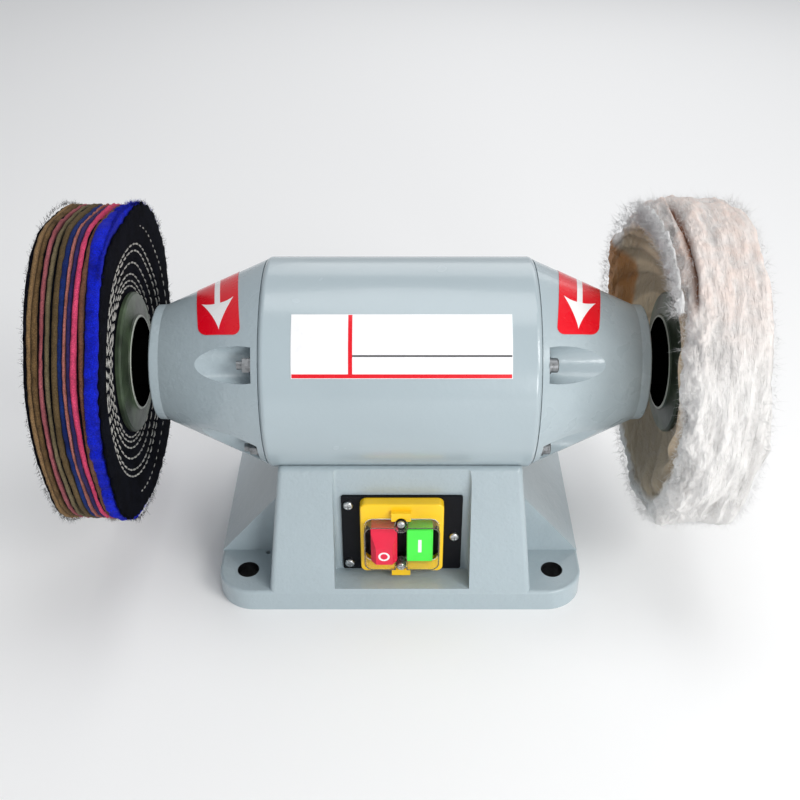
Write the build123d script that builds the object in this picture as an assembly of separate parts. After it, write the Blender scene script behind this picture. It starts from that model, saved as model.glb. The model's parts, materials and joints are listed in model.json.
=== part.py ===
from build123d import *

import os
from math import cos, radians, sin, sqrt

# Bench grinder fitted as a double-ended polisher, with a buff on each end of the motor shaft.
# Millimetres. The origin is on the bench, under the middle of the motor. +X runs along the motor
# shaft to the right-hand buff, the front with the switch faces -Y, and +Z is up.

# Motor
SHAFT_HEIGHT = 145.0
BARREL_RADIUS = 66.0
BARREL_WALL = 4.0
BARREL_END = 82.0
BARREL_EDGE = 3.5
SPIGOT_LENGTH = 6.0
STACK_HALF = 35.0
STATOR_BORE = 35.0
AIR_GAP = 0.5
SLOTS = 24
SLOT_WIDTH = 4.6
SLOT_DEPTH = 10.0
SLOT_TIP = 4.0
COIL_END = 57.0
COIL_INNER = 37.5
COIL_OUTER = 51.0
ROTOR_BARS = 20
ROTOR_BAR_RADIUS = 2.0
ROTOR_BAR_CIRCLE = 29.0
CAGE_RING_INNER = 21.0
CAGE_RING_OUTER = 33.5
CAGE_RING_LENGTH = 7.0
FAN_BLADES = 8
FAN_BLADE = (10.0, 1.8, 9.0)
FAN_CIRCLE = 27.0
SHAFT_MIDDLE = 12.0

# End bells
BELL_BIG_RADIUS = 64.3
BELL_SMALL_RADIUS = 36.3
BELL_CONE_END = 145.0
BELL_END = 151.0
BELL_WALL = 4.0
BELL_HOLLOW_END = 128.0
BELL_BORE = 13.0
BELL_SEAT_WALL = 6.0
SPIGOT_WALL = 5.0
POCKET_RADIUS = 11.0
POCKET_FLOOR = 86.0
BOLT_CIRCLE = 58.0
BOLT_RADIUS = 2.5
BOLT_ELEVATIONS = (31, 149, 211, 329)
BOLT_CHANNEL = 4.5
BOLT_HEAD_RADIUS = 4.3
BOLT_HEAD_HEIGHT = 4.5
BOLT_SOCKET = 2.2
BOLT_NUT_HALF = 4.0
BOLT_NUT_HEIGHT = 4.0
BOLT_WASHER_RADIUS = 5.0
BOLT_WASHER_HEIGHT = 1.0

# Bearings, 20 x 47 x 14
BEARING_BORE = 10.0
BEARING_RADIUS = 23.5
BEARING_WIDTH = 14.0
BEARING_CENTRE = 137.0
OUTER_RING_INNER = 19.0
INNER_RING_OUTER = 14.5
RACE_RADIUS = 16.75
BALL_RADIUS = 3.95
BALL_PLAY = 0.06
BALLS = 8
CAGE_HALF_WIDTH = 4.6
CAGE_INNER = 15.6
CAGE_OUTER = 17.9
WASHER = 1.0
WASHER_INNER = 19.0
WASHER_OUTER = 23.3

# Arbor
ARBOR_RADIUS = 8.0
SHOULDER = 155.0
INNER_CLAMP = 169.0
OUTER_CLAMP = 193.0
FLANGE_RADIUS = 44.0
NUT_FACE = 199.0
NUT_END = 209.0
NUT_ACROSS = 24.0
SHAFT_END = 215.0
SHAFT_CHAMFER = 1.2
BORE_PLAY = 0.05

# Buffs: radius, and the inner and outer side of the rim
LEFT_BUFF = (100.0, 161.0, 205.0)
RIGHT_BUFF = (103.0, 152.0, 208.0)
BUFF_BORE_PLAY = 0.3
BUFF_CORNER = 4.0

# Base
FOOT_HALF = 119.0
FOOT_FRONT = 73.0
FOOT_REAR = 101.0
FOOT_CORNER = 24.0
EAR_TOP = 15.5
EAR_INNER = 33.0
BLOCK_TOP = 101.0
BLOCK_TOP_HALF = 75.5
BLOCK_FOOT_HALF = 85.7
BLOCK_TOP_FRONT = 53.0
BLOCK_FOOT_FRONT = 76.0
BLOCK_TOP_REAR = 58.0
BLOCK_FOOT_REAR = 78.7
BLOCK_EDGE = 3.5
FLANK_TOP = 63.0
FLANK_TOP_X = 79.0
BASE_WALL = 6.0
SADDLE_GAP = 0.25
SADDLE_SCREW_X = (-48.0, 48.0)
SADDLE_SCREW_RADIUS = 3.0
SADDLE_HEAD = (5.0, 5.0)
EARTH_HOLE = (-88.5, -35.5)
EARTH_HOLE_RADIUS = 1.6
BENCH_HOLE_RADIUS = 7.0
BENCH_HOLE_X = 100.0
BENCH_HOLE_FRONT = 52.0
BENCH_HOLE_REAR = 88.0
COVER_SEAT = 4.0
COVER_THICKNESS = 2.0
COVER_MIDDLE_HALF = (82.0, 68.0)
COVER_WING_HALF = (111.0, 45.0)
COVER_WING_Y = 20.0
COVER_LEDGE = 6.0
COVER_SCREW_RADIUS = 1.5
CAVITY_REAR = COVER_MIDDLE_HALF[1] - COVER_LEDGE

# Switch
SWITCH_X = 1.2
RECESS_HALF = 43.2
RECESS_FLOOR = 52.5
RECESS_LEDGE = 17.5
PLATE_SIZE = (76.5, 61.0)
PLATE_MIDDLE = 49.5
PLATE_THICKNESS = 2.0
FRAME_SIZE = (52.6, 56.0)
FRAME_MIDDLE = 51.2
FRAME_PROUD = 7.0
WINDOW_SIZE = (47.6, 36.0)
WINDOW_MIDDLE = 50.0
BUTTON_OFFSET = 11.3
BUTTON_SIZE = (16.6, 26.5)
BUTTON_MIDDLE = 49.5
PLATE_SCREW_RADIUS = 1.6
PLATE_SCREW_X = (-33.8, 33.4)
PLATE_SCREW_Z = (73.4, 24.6, 47.5)
FRAME_SCREW_X = -0.5
FRAME_SCREW_OFFSET = 17.8
BUTTON_REAR = -40.0
STOP_PROUD = 8.0
START_PROUD = 5.0
WELL_REAR = -30.0
SPRING_RADIUS = 3.4
SPRING_WIRE = 0.4
SCREW_BOSS = 3.3
BOSS_PROUD = 4.5
GUARD_WALL = 0.8
GUARD_PROUD = 8.5
SWITCH_BODY = (44.0, 34.0)
SWITCH_BODY_DEPTH = 32.0
PLATE_FACE = -RECESS_FLOOR - PLATE_THICKNESS
FRAME_FACE = PLATE_FACE - FRAME_PROUD

# Labels: how thick they are, where along X, and their lower and upper edges' elevation
LABEL_THICKNESS = 0.3
RATING_LABEL_X = (-62.5, 64.5)
RATING_LABEL_ELEVATION = (24.5, 57.3)
ARROW_LABEL_X = (93.0, 119.0)
ARROW_LABEL_ELEVATION = (50.0, 116.0)

# Inside the base, and the cable gland
CAPACITOR = (15.0, 58.0)
CAPACITOR_PLACE = (-20.0, 36.0, 40.0)
CLAMP_BAND = (16.0, 14.0)
CLAMP_STRAP_START = 51.5
CLAMP_STRAP_HEIGHT = 8.0
TERMINAL_BLOCK = (50.0, 18.0, 16.0)
TERMINAL_PLACE = (30.0, 0.0)
TERMINAL_PITCH = 12.0
GLAND_X = 40.0
GLAND_Z = 38.0
GLAND_BOSS_RADIUS = 14.0
GLAND_BOSS_HEIGHT = 5.0
GLAND_BORE = 5.0
GLAND_THREAD = 7.9
GLAND_HOLE = 8.0
GLAND_HEX = 11.0
GLAND_HEX_LENGTH = 5.0
GLAND_CAP_RADIUS = 10.5
GLAND_CABLE_RADIUS = 4.0

AXIAL = Rot(0, 90, 0)
FORWARD = Rot(90, 0, 0)
MIN = (Align.CENTER, Align.CENTER, Align.MIN)


def save(node, shape):
    """Write one node. A group of equal pieces is written as one compound."""
    shape.label = node
    export_step(shape, f"parts/{node}.step")


def group(pieces):
    return Compound(children=list(pieces))


def at_shaft(shape):
    return Pos(0, 0, SHAFT_HEIGHT) * shape


def turned(outline, arc=360):
    """A body of revolution on the motor axis, from (x, radius) points."""
    face = Plane.XZ * make_face(Polyline(*outline, close=True))
    return at_shaft(revolve(face, Axis.X, arc))


def axial_rod(radius, start, end, y=0.0, z=0.0):
    """A round bar parallel to the shaft, at y and z from its axis."""
    bar = Cylinder(radius, end - start, align=MIN)
    return at_shaft(Pos(start, y, z) * AXIAL * bar)


def bar_along_y(radius, front, rear, x=0.0, z=0.0):
    """A round bar along Y between two places, front being the lower one."""
    return Pos(x, rear, z) * FORWARD * Cylinder(radius, rear - front, align=MIN)


def slab_along_y(size, front, rear, x, z, corner):
    """A plate standing upright across Y, with rounded corners."""
    face = Pos(x, rear, z) * FORWARD * RectangleRounded(size[0], size[1], corner)
    return extrude(face, rear - front, dir=(0, -1, 0))


def to_left(shape):
    return mirror(shape, Plane.YZ)


def pan_head(radius, height, shank_radius, shank):
    """A cross-recess pan-head screw along +Z, its seat at the origin."""
    dome = Cylinder(radius, height, align=MIN)
    dome = fillet(dome.edges().sort_by(Axis.Z)[-1], height * 0.6)
    arm = Box(radius * 1.3, radius * 0.26, height, align=MIN)
    cross = Pos(0, 0, height * 0.45) * (arm + Rot(0, 0, 90) * arm)
    stem = Pos(0, 0, -shank) * Cylinder(shank_radius, shank, align=MIN)
    return (dome - cross) + stem


def bolt_places():
    """The y and z of each tie bolt, from the shaft axis."""
    return [(-BOLT_CIRCLE * cos(radians(a)), BOLT_CIRCLE * sin(radians(a))) for a in BOLT_ELEVATIONS]


# ---------------------------------------------------------------- base


def frustum(foot_half, top_half, shrink):
    """A solid whose front and rear slope inwards going up; shrink is a wall's thickness."""
    faces = []
    for z, half, front, rear in (
        (0.0, foot_half, BLOCK_FOOT_FRONT, BLOCK_FOOT_REAR),
        (BLOCK_TOP, top_half, BLOCK_TOP_FRONT, BLOCK_TOP_REAR),
    ):
        outline = Pos(0, (rear - front) / 2) * Rectangle(2 * (half - shrink), front + rear - 2 * shrink)
        faces.append((Plane.XY.offset(z) * outline).face())
    return loft(faces, ruled=True)


def block(shrink=0.0):
    """The middle of the casting, under the motor."""
    return frustum(BLOCK_FOOT_HALF, BLOCK_TOP_HALF, shrink)


def flanks(shrink=0.0):
    """Sloped wings on both sides, from the ears' rear walls to the block's sloping rear."""
    side = FOOT_HALF - shrink
    top = FLANK_TOP - shrink
    outline = [(-side, 0), (side, 0), (side, EAR_TOP - shrink), (FLANK_TOP_X, top)]
    outline += [(-FLANK_TOP_X, top), (-side, EAR_TOP - shrink)]
    face = Plane.XZ * make_face(Polyline(*outline, close=True))
    wing = Pos(0, -EAR_INNER + shrink, 0) * extrude(face, 2 * BLOCK_FOOT_REAR, dir=(0, 1, 0))
    return wing & frustum(FOOT_HALF, FOOT_HALF, shrink)


def foot_outline():
    depth = FOOT_FRONT + FOOT_REAR
    return Pos(0, (FOOT_REAR - FOOT_FRONT) / 2) * RectangleRounded(2 * FOOT_HALF, depth, FOOT_CORNER)


def bench_hole_places():
    return [(x, y) for x in (-BENCH_HOLE_X, BENCH_HOLE_X) for y in (-BENCH_HOLE_FRONT, BENCH_HOLE_REAR)]


def cover_outline(shrink=0.0):
    """The cross-shaped sheet that closes the underside."""
    middle = Rectangle(*(2 * (half - shrink) for half in COVER_MIDDLE_HALF))
    wings = Rectangle(*(2 * (half - shrink) for half in COVER_WING_HALF))
    return middle + Pos(0, COVER_WING_Y) * wings


def cover_screw_places():
    """One screw near each corner of the sheet's middle, and one in each wing."""
    inset = COVER_LEDGE / 2
    x = COVER_MIDDLE_HALF[0] - inset
    y = COVER_MIDDLE_HALF[1] - inset
    wing = COVER_WING_HALF[0] - inset
    return [(-x, -y), (-x, y), (x, -y), (x, y), (-wing, COVER_WING_Y), (wing, COVER_WING_Y)]


def recess():
    """The pocket for the switch, from its upright floor out through the sloping front."""
    pocket = Pos(SWITCH_X, -RECESS_FLOOR, RECESS_LEDGE) * Box(
        2 * RECESS_HALF, 40, 100, align=(Align.CENTER, Align.MAX, Align.MIN)
    )
    floor_edges = pocket.edges().filter_by(Axis.Z).sort_by(Axis.Y)[-2:]
    return fillet(floor_edges, 3.0)


def base_cavity():
    """The casting's hollow, with a ledge left all round for the bottom plate."""
    hollow = (block(BASE_WALL) + flanks(BASE_WALL)) & extrude(cover_outline(COVER_LEDGE), BLOCK_TOP)
    roof = axial_rod(BARREL_RADIUS + SADDLE_GAP + BASE_WALL, -100, 100)
    behind_switch = Pos(SWITCH_X, -RECESS_FLOOR + BASE_WALL, 0) * Box(
        2 * (RECESS_HALF + BASE_WALL), 60, 120, align=(Align.CENTER, Align.MAX, Align.MIN)
    )
    return hollow - roof - behind_switch


def base_casting():
    foot = extrude(foot_outline(), EAR_TOP)
    foot = fillet(foot.faces().sort_by(Axis.Z)[-1].edges(), 2.0)
    keep = extrude(foot_outline(), BLOCK_TOP)
    middle = block()
    middle = fillet(middle.edges().group_by(Axis.Z)[1] + middle.edges().group_by(Axis.Z)[-1], BLOCK_EDGE)
    body = foot + (flanks() & keep) + (middle & keep)
    boss_root = rear_face_y(GLAND_Z) - BASE_WALL
    body += bar_along_y(GLAND_BOSS_RADIUS, boss_root, gland_face(), GLAND_X, GLAND_Z)
    body -= axial_rod(BARREL_RADIUS + SADDLE_GAP, -100, 100)
    body -= recess()
    body -= base_cavity()
    body -= extrude(cover_outline(), COVER_SEAT)
    for x, y in bench_hole_places():
        body -= Pos(x, y, 0) * Cylinder(BENCH_HOLE_RADIUS, 60)
    for x, y in cover_screw_places():
        body -= Pos(x, y, COVER_SEAT) * Cylinder(COVER_SCREW_RADIUS, 7, align=MIN)
    body -= Pos(*EARTH_HOLE, 0) * Cylinder(EARTH_HOLE_RADIUS, 60)
    body -= bar_along_y(GLAND_HOLE, 40, 110, GLAND_X, GLAND_Z)
    front = -RECESS_FLOOR - 1
    rear = -RECESS_FLOOR + BASE_WALL + 1
    body -= slab_along_y(SWITCH_BODY, front, rear, SWITCH_X, WINDOW_MIDDLE, 2)
    for x, z in plate_screw_places():
        body -= bar_along_y(PLATE_SCREW_RADIUS, front, rear, x, z)
    for x in SADDLE_SCREW_X:
        body -= Pos(x, 0, 60) * Cylinder(SADDLE_SCREW_RADIUS + 0.3, 40, align=MIN)
    return body


def bottom_plate():
    sheet = extrude(cover_outline(0.5), COVER_THICKNESS)
    for x, y in cover_screw_places():
        sheet -= Pos(x, y, 0) * Cylinder(COVER_SCREW_RADIUS + 0.3, 10)
    return Pos(0, 0, COVER_SEAT - COVER_THICKNESS) * sheet


def bottom_plate_screws():
    screw = Rot(180, 0, 0) * pan_head(2.9, 1.7, COVER_SCREW_RADIUS, COVER_THICKNESS + 6)
    return group([Pos(x, y, COVER_SEAT - COVER_THICKNESS) * screw for x, y in cover_screw_places()])


def saddle_screws():
    """The screws that hold the motor on the base, pushed up from inside it."""
    roof = SHAFT_HEIGHT - BARREL_RADIUS - SADDLE_GAP - BASE_WALL
    reach = BASE_WALL + SADDLE_GAP + BARREL_WALL + 1
    head = Pos(0, 0, roof) * Cylinder(*SADDLE_HEAD, align=(Align.CENTER, Align.CENTER, Align.MAX))
    stem = Pos(0, 0, roof) * Cylinder(SADDLE_SCREW_RADIUS, reach, align=MIN)
    return group([Pos(x, 0, 0) * (head + stem) for x in SADDLE_SCREW_X])


# ---------------------------------------------------------------- motor


def motor_barrel():
    outer = BARREL_RADIUS
    tube = axial_rod(outer, -BARREL_END, BARREL_END)
    tube = fillet(tube.edges().filter_by(GeomType.CIRCLE), BARREL_EDGE)
    tube -= axial_rod(outer - BARREL_WALL, -BARREL_END, BARREL_END)
    for x in SADDLE_SCREW_X:
        tube -= Pos(x, 0, SHAFT_HEIGHT - outer) * Cylinder(SADDLE_SCREW_RADIUS, 12)
    return tube


def bell_cone(start=BARREL_END, grow=0.0):
    return [(start, BELL_BIG_RADIUS + grow), (BELL_CONE_END, BELL_SMALL_RADIUS + grow)]


def right_end_bell():
    """A conical cover with a bearing seat and four pockets for the tie bolts' ends."""
    collar = [(BELL_END, BELL_SMALL_RADIUS - 0.3), (BELL_END, 0)]
    outside = turned([(BARREL_END, 0)] + bell_cone() + collar)
    outside = fillet(outside.edges().filter_by(GeomType.CIRCLE).sort_by(Axis.X)[-1], 1.2)
    slope = (BELL_BIG_RADIUS - BELL_SMALL_RADIUS) / (BELL_CONE_END - BARREL_END)
    big = BELL_BIG_RADIUS - BELL_WALL - 1
    small = big - slope * (BELL_HOLLOW_END - BARREL_END)
    seat_start = BEARING_CENTRE - BEARING_WIDTH / 2 - 3
    hollow = [(BARREL_END - 1, 0), (BARREL_END - 1, big), (BARREL_END, big)]
    inside = turned(hollow + [(BELL_HOLLOW_END, small), (BELL_HOLLOW_END, 0)])
    bell = outside - inside
    for y, z in bolt_places():
        bell += axial_rod(POCKET_RADIUS + BELL_WALL, BARREL_END, 132, y, z) & outside
    spigot_radius = BARREL_RADIUS - BARREL_WALL
    spigot = turned(
        [
            (BARREL_END - SPIGOT_LENGTH, spigot_radius),
            (BARREL_END, spigot_radius),
            (BARREL_END, spigot_radius - SPIGOT_WALL),
            (BARREL_END - SPIGOT_LENGTH, spigot_radius - SPIGOT_WALL),
        ]
    )
    for y, z in bolt_places():
        spigot -= axial_rod(BOLT_CHANNEL, BARREL_END - SPIGOT_LENGTH - 1, BARREL_END, y, z)
    bell += spigot
    bell += axial_rod(BEARING_RADIUS + BELL_SEAT_WALL, seat_start, BELL_HOLLOW_END + 1)
    bell -= axial_rod(BEARING_RADIUS, seat_start - 1, BEARING_CENTRE + BEARING_WIDTH / 2 + WASHER)
    bell -= axial_rod(BELL_BORE, seat_start, BELL_END + 1)
    for y, z in bolt_places():
        bell -= axial_rod(POCKET_RADIUS, POCKET_FLOOR, BELL_END, y, z)
        bell -= axial_rod(BOLT_RADIUS + 0.25, BARREL_END - 8, BELL_END, y, z)
    return bell


def tie_bolts():
    """Long bolts through both bells: heads in the right-hand pockets, threads out of the left."""
    reach = POCKET_FLOOR + BOLT_WASHER_HEIGHT
    bolts = []
    for y, z in bolt_places():
        head = axial_rod(BOLT_HEAD_RADIUS, reach, reach + BOLT_HEAD_HEIGHT, y, z)
        head = fillet(head.edges().filter_by(GeomType.CIRCLE).sort_by(Axis.X)[-1], 1.0)
        socket = at_shaft(Pos(reach + 2, y, z) * AXIAL * extrude(RegularPolygon(BOLT_SOCKET, 6), 4))
        bolts.append(head - socket + axial_rod(BOLT_RADIUS, -reach - 7.5, reach, y, z))
    return group(bolts)


def tie_bolt_washers():
    end = POCKET_FLOOR + BOLT_WASHER_HEIGHT
    rings = []
    for y, z in bolt_places():
        ring = axial_rod(BOLT_WASHER_RADIUS, POCKET_FLOOR, end, y, z)
        ring -= axial_rod(BOLT_RADIUS + 0.15, POCKET_FLOOR, end, y, z)
        rings += [ring, to_left(ring)]
    return group(rings)


def tie_bolt_nuts():
    seat = -POCKET_FLOOR - BOLT_WASHER_HEIGHT
    end = seat - BOLT_NUT_HEIGHT
    prism = extrude(RegularPolygon(BOLT_NUT_HALF, 6, major_radius=False), BOLT_NUT_HEIGHT)
    nuts = []
    for y, z in bolt_places():
        blank = at_shaft(Pos(end, y, z) * AXIAL * prism)
        nuts.append(blank - axial_rod(BOLT_RADIUS, end, seat, y, z))
    return group(nuts)


def stator_slots():
    """One winding slot's bar at each place round the bore."""
    bar = Pos(0, 0, STATOR_BORE + SLOT_TIP) * Box(2 * STACK_HALF + 2, SLOT_WIDTH, SLOT_DEPTH, align=MIN)
    step = 360 / SLOTS
    return [at_shaft(Rot(i * step, 0, 0) * bar) for i in range(SLOTS)]


def stator_core():
    core = axial_rod(BARREL_RADIUS - BARREL_WALL, -STACK_HALF, STACK_HALF)
    core -= axial_rod(STATOR_BORE, -STACK_HALF, STACK_HALF)
    core -= stator_slots()
    for y, z in bolt_places():
        core -= axial_rod(BOLT_CHANNEL, -STACK_HALF, STACK_HALF, y, z)
    return core


def stator_windings():
    bend = COIL_END - 3
    outline = [(STACK_HALF, COIL_INNER), (STACK_HALF, COIL_OUTER - 1), (bend, COIL_OUTER)]
    outline += [(COIL_END, COIL_OUTER - 4), (COIL_END, COIL_INNER + 3.5), (bend, COIL_INNER)]
    coil = turned(outline)
    return (coil + to_left(coil)).fuse(*stator_slots())


def rotor_bars():
    bar = axial_rod(ROTOR_BAR_RADIUS, -STACK_HALF, STACK_HALF, 0, ROTOR_BAR_CIRCLE)
    place = Pos(0, 0, SHAFT_HEIGHT)
    step = 360 / ROTOR_BARS
    return [place * Rot(i * step, 0, 0) * place.inverse() * bar for i in range(ROTOR_BARS)]


def rotor_core():
    core = axial_rod(STATOR_BORE - AIR_GAP, -STACK_HALF, STACK_HALF)
    core -= axial_rod(SHAFT_MIDDLE, -STACK_HALF, STACK_HALF)
    return core - rotor_bars()


def rotor_cage():
    """The cast cage: bars through the core, joined by an end ring with fan blades at each end."""
    end = STACK_HALF + CAGE_RING_LENGTH
    outline = [(STACK_HALF, CAGE_RING_INNER), (STACK_HALF, CAGE_RING_OUTER)]
    outline += [(end, CAGE_RING_OUTER - 0.5), (end, CAGE_RING_INNER)]
    ring = turned(outline)
    blade = Pos(end, 0, FAN_CIRCLE) * Box(*FAN_BLADE, align=(Align.MIN, Align.CENTER, Align.CENTER))
    for i in range(FAN_BLADES):
        ring += at_shaft(Rot(i * 360 / FAN_BLADES, 0, 0) * blade)
    return (ring + to_left(ring)).fuse(*rotor_bars())


def shaft():
    """Thick through the rotor, ground to the bearings' bore, then stepped down to the arbors."""
    inner = BEARING_CENTRE - BEARING_WIDTH / 2
    half = [(0, SHAFT_MIDDLE), (inner, SHAFT_MIDDLE), (inner, BEARING_BORE), (SHOULDER, BEARING_BORE)]
    half += [(SHOULDER, ARBOR_RADIUS), (SHAFT_END - SHAFT_CHAMFER, ARBOR_RADIUS)]
    half += [(SHAFT_END, ARBOR_RADIUS - SHAFT_CHAMFER)]
    other = [(-x, r) for x, r in reversed(half[1:])]
    return turned([(-SHAFT_END, 0)] + other + half + [(SHAFT_END, 0)])


# ---------------------------------------------------------------- bearings


def ball_groove():
    """The ring-shaped channel that the balls run in, a little wider than they are."""
    channel = Torus(RACE_RADIUS, BALL_RADIUS + BALL_PLAY)
    return at_shaft(Pos(BEARING_CENTRE, 0, 0) * AXIAL * channel)


def bearing_ring(inner, outer):
    start = BEARING_CENTRE - BEARING_WIDTH / 2
    end = BEARING_CENTRE + BEARING_WIDTH / 2
    return turned([(start, inner), (start, outer), (end, outer), (end, inner)]) - ball_groove()


def bearing_balls():
    place = Pos(BEARING_CENTRE, 0, SHAFT_HEIGHT)
    ball = Pos(0, 0, RACE_RADIUS) * Sphere(BALL_RADIUS)
    return group([place * Rot(i * 360 / BALLS, 0, 0) * ball for i in range(BALLS)])


def bearing_cage():
    start = BEARING_CENTRE - CAGE_HALF_WIDTH
    end = BEARING_CENTRE + CAGE_HALF_WIDTH
    ring = turned([(start, CAGE_INNER), (start, CAGE_OUTER), (end, CAGE_OUTER), (end, CAGE_INNER)])
    place = Pos(BEARING_CENTRE, 0, SHAFT_HEIGHT)
    for i in range(BALLS):
        ring -= place * Rot(i * 360 / BALLS, 0, 0) * Pos(0, 0, RACE_RADIUS) * Sphere(BALL_RADIUS + 0.05)
    return ring


def wave_washer():
    """Takes up the end play between the bearing and the end of its seat."""
    start = BEARING_CENTRE + BEARING_WIDTH / 2
    end = start + WASHER
    return turned([(start, WASHER_INNER), (start, WASHER_OUTER), (end, WASHER_OUTER), (end, WASHER_INNER)])


# ---------------------------------------------------------------- arbor


def inner_flange():
    """A turned dish with a rim that grips the buff and a raised ring round its hollow middle."""
    bore = ARBOR_RADIUS + BORE_PLAY
    outline = [(SHOULDER, bore), (SHOULDER, 14), (164.8, 14), (164.8, 27.5), (162.6, 28)]
    outline += [(162.6, 29.3), (164.0, 30.5), (165.2, 42.8), (166.4, FLANGE_RADIUS)]
    outline += [(INNER_CLAMP - 0.6, FLANGE_RADIUS), (INNER_CLAMP, FLANGE_RADIUS - 0.8)]
    outline += [(INNER_CLAMP, bore)]
    return turned(outline)


def outer_flange():
    bore = ARBOR_RADIUS + BORE_PLAY
    outline = [(NUT_FACE, bore), (NUT_FACE, 16), (197.4, 17.5), (196.4, 42.8), (195.4, FLANGE_RADIUS)]
    outline += [(OUTER_CLAMP + 0.6, FLANGE_RADIUS), (OUTER_CLAMP, FLANGE_RADIUS - 0.8)]
    outline += [(OUTER_CLAMP, bore)]
    return turned(outline)


def arbor_nut():
    """M16, 24 across the flats, with chamfered corners."""
    prism = extrude(RegularPolygon(NUT_ACROSS / 2, 6, major_radius=False), NUT_END - NUT_FACE)
    blank = at_shaft(Pos(NUT_FACE, 0, 0) * AXIAL * prism)
    corner = NUT_ACROSS / sqrt(3)
    turned_blank = turned(
        [
            (NUT_FACE, 0),
            (NUT_FACE, corner - 1),
            (NUT_FACE + 1, corner + 0.2),
            (NUT_END - 1, corner + 0.2),
            (NUT_END, corner - 1.2),
            (NUT_END, 0),
        ]
    )
    return (blank & turned_blank) - axial_rod(ARBOR_RADIUS, NUT_FACE, NUT_END)


def buff(radius, rim_inner, rim_outer, side):
    """A soft disc, clamped flat by its flanges and spreading out to a wide rim."""
    middle = (rim_inner + rim_outer) / 2
    hub = FLANGE_RADIUS + 3
    bore = ARBOR_RADIUS + BUFF_BORE_PLAY
    shoulder = radius * 0.92
    neck = radius * 0.84
    outline = [(INNER_CLAMP, bore), (INNER_CLAMP, hub), (rim_inner + 2, neck), (rim_inner, shoulder)]
    outline += [(rim_inner + BUFF_CORNER, radius - 1.5), (middle, radius)]
    outline += [(rim_outer - BUFF_CORNER, radius - 1.5)]
    outline += [(rim_outer, shoulder), (rim_outer - 2, neck), (OUTER_CLAMP, hub), (OUTER_CLAMP, bore)]
    return turned([(side * x, r) for x, r in outline])


# ---------------------------------------------------------------- labels


def rating_label():
    """A blank plate rolled round the upper front of the barrel."""
    start, end = RATING_LABEL_X
    lower, upper = RATING_LABEL_ELEVATION
    outer = BARREL_RADIUS + LABEL_THICKNESS
    outline = [(start, BARREL_RADIUS), (start, outer), (end, outer), (end, BARREL_RADIUS)]
    return turn_up(turned(outline, upper - lower), upper)


def turn_up(piece, top_elevation):
    """Turn a sector that starts straight above the shaft so that its upper edge is at an elevation."""
    place = Pos(0, 0, SHAFT_HEIGHT)
    return place * Rot(90.0 - top_elevation, 0, 0) * place.inverse() * piece


def right_arrow_label():
    """A sticker on the cone that wraps from the upper front over the top."""
    lower, upper = ARROW_LABEL_ELEVATION
    inside = cone_band(*ARROW_LABEL_X, 0.0)
    outside = cone_band(*ARROW_LABEL_X, LABEL_THICKNESS)
    return turn_up(turned(inside + outside[::-1], upper - lower), upper)


def cone_band(start, end, grow):
    slope = (BELL_BIG_RADIUS - BELL_SMALL_RADIUS) / (BELL_CONE_END - BARREL_END)
    return [(x, BELL_BIG_RADIUS - slope * (x - BARREL_END) + grow) for x in (start, end)]


# ---------------------------------------------------------------- switch


def plate_screw_places():
    left, right = (SWITCH_X + offset for offset in PLATE_SCREW_X)
    top, bottom, middle = PLATE_SCREW_Z
    return [(left, top), (left, bottom), (right, middle)]


def frame_screw_places():
    x = SWITCH_X + FRAME_SCREW_X
    return [(x, WINDOW_MIDDLE + FRAME_SCREW_OFFSET), (x, WINDOW_MIDDLE - FRAME_SCREW_OFFSET)]


def switch_plate():
    plate = slab_along_y(PLATE_SIZE, PLATE_FACE, -RECESS_FLOOR, SWITCH_X, PLATE_MIDDLE, 1.5)
    plate -= slab_along_y(SWITCH_BODY, PLATE_FACE, -RECESS_FLOOR, SWITCH_X, WINDOW_MIDDLE, 2)
    for x, z in plate_screw_places():
        plate -= bar_along_y(PLATE_SCREW_RADIUS + 0.1, PLATE_FACE, -RECESS_FLOOR, x, z)
    return plate


def switch_plate_screws():
    screw = FORWARD * pan_head(3.1, 2.2, PLATE_SCREW_RADIUS, 7.5)
    return group([Pos(x, PLATE_FACE, z) * screw for x, z in plate_screw_places()])


def switch_frame():
    """The yellow bezel: a rounded frame with a hood above and a tab below the window."""
    rim = slab_along_y(FRAME_SIZE, FRAME_FACE, PLATE_FACE, SWITCH_X, FRAME_MIDDLE, 4)
    rim = fillet(rim.faces().sort_by(Axis.Y)[0].edges(), 1.2)
    rim -= slab_along_y(WINDOW_SIZE, FRAME_FACE, PLATE_FACE, SWITCH_X, WINDOW_MIDDLE, 6)
    x = frame_screw_places()[0][0]
    hood = Box(12.4, 4.5, 6.5, align=(Align.CENTER, Align.MAX, Align.CENTER))
    hood = Pos(x, FRAME_FACE + 1, WINDOW_MIDDLE + 21.8) * hood
    tab = Box(12, 5.5, 5, align=(Align.CENTER, Align.MAX, Align.CENTER))
    tab = Pos(x, FRAME_FACE + 4.5, FRAME_MIDDLE - FRAME_SIZE[1] / 2 - 0.2) * tab
    bezel = rim + hood + tab
    for x, z in frame_screw_places():
        bezel -= bar_along_y(SCREW_BOSS + 0.1, FRAME_FACE - 5, PLATE_FACE, x, z)
    return bezel


def button_box(offset, grow):
    width = BUTTON_SIZE[0] + 2 * grow
    height = BUTTON_SIZE[1] + 2 * grow
    size = (width, height)
    return slab_along_y(size, FRAME_FACE - 12, WELL_REAR, SWITCH_X + offset, BUTTON_MIDDLE, 1 + grow)


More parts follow.
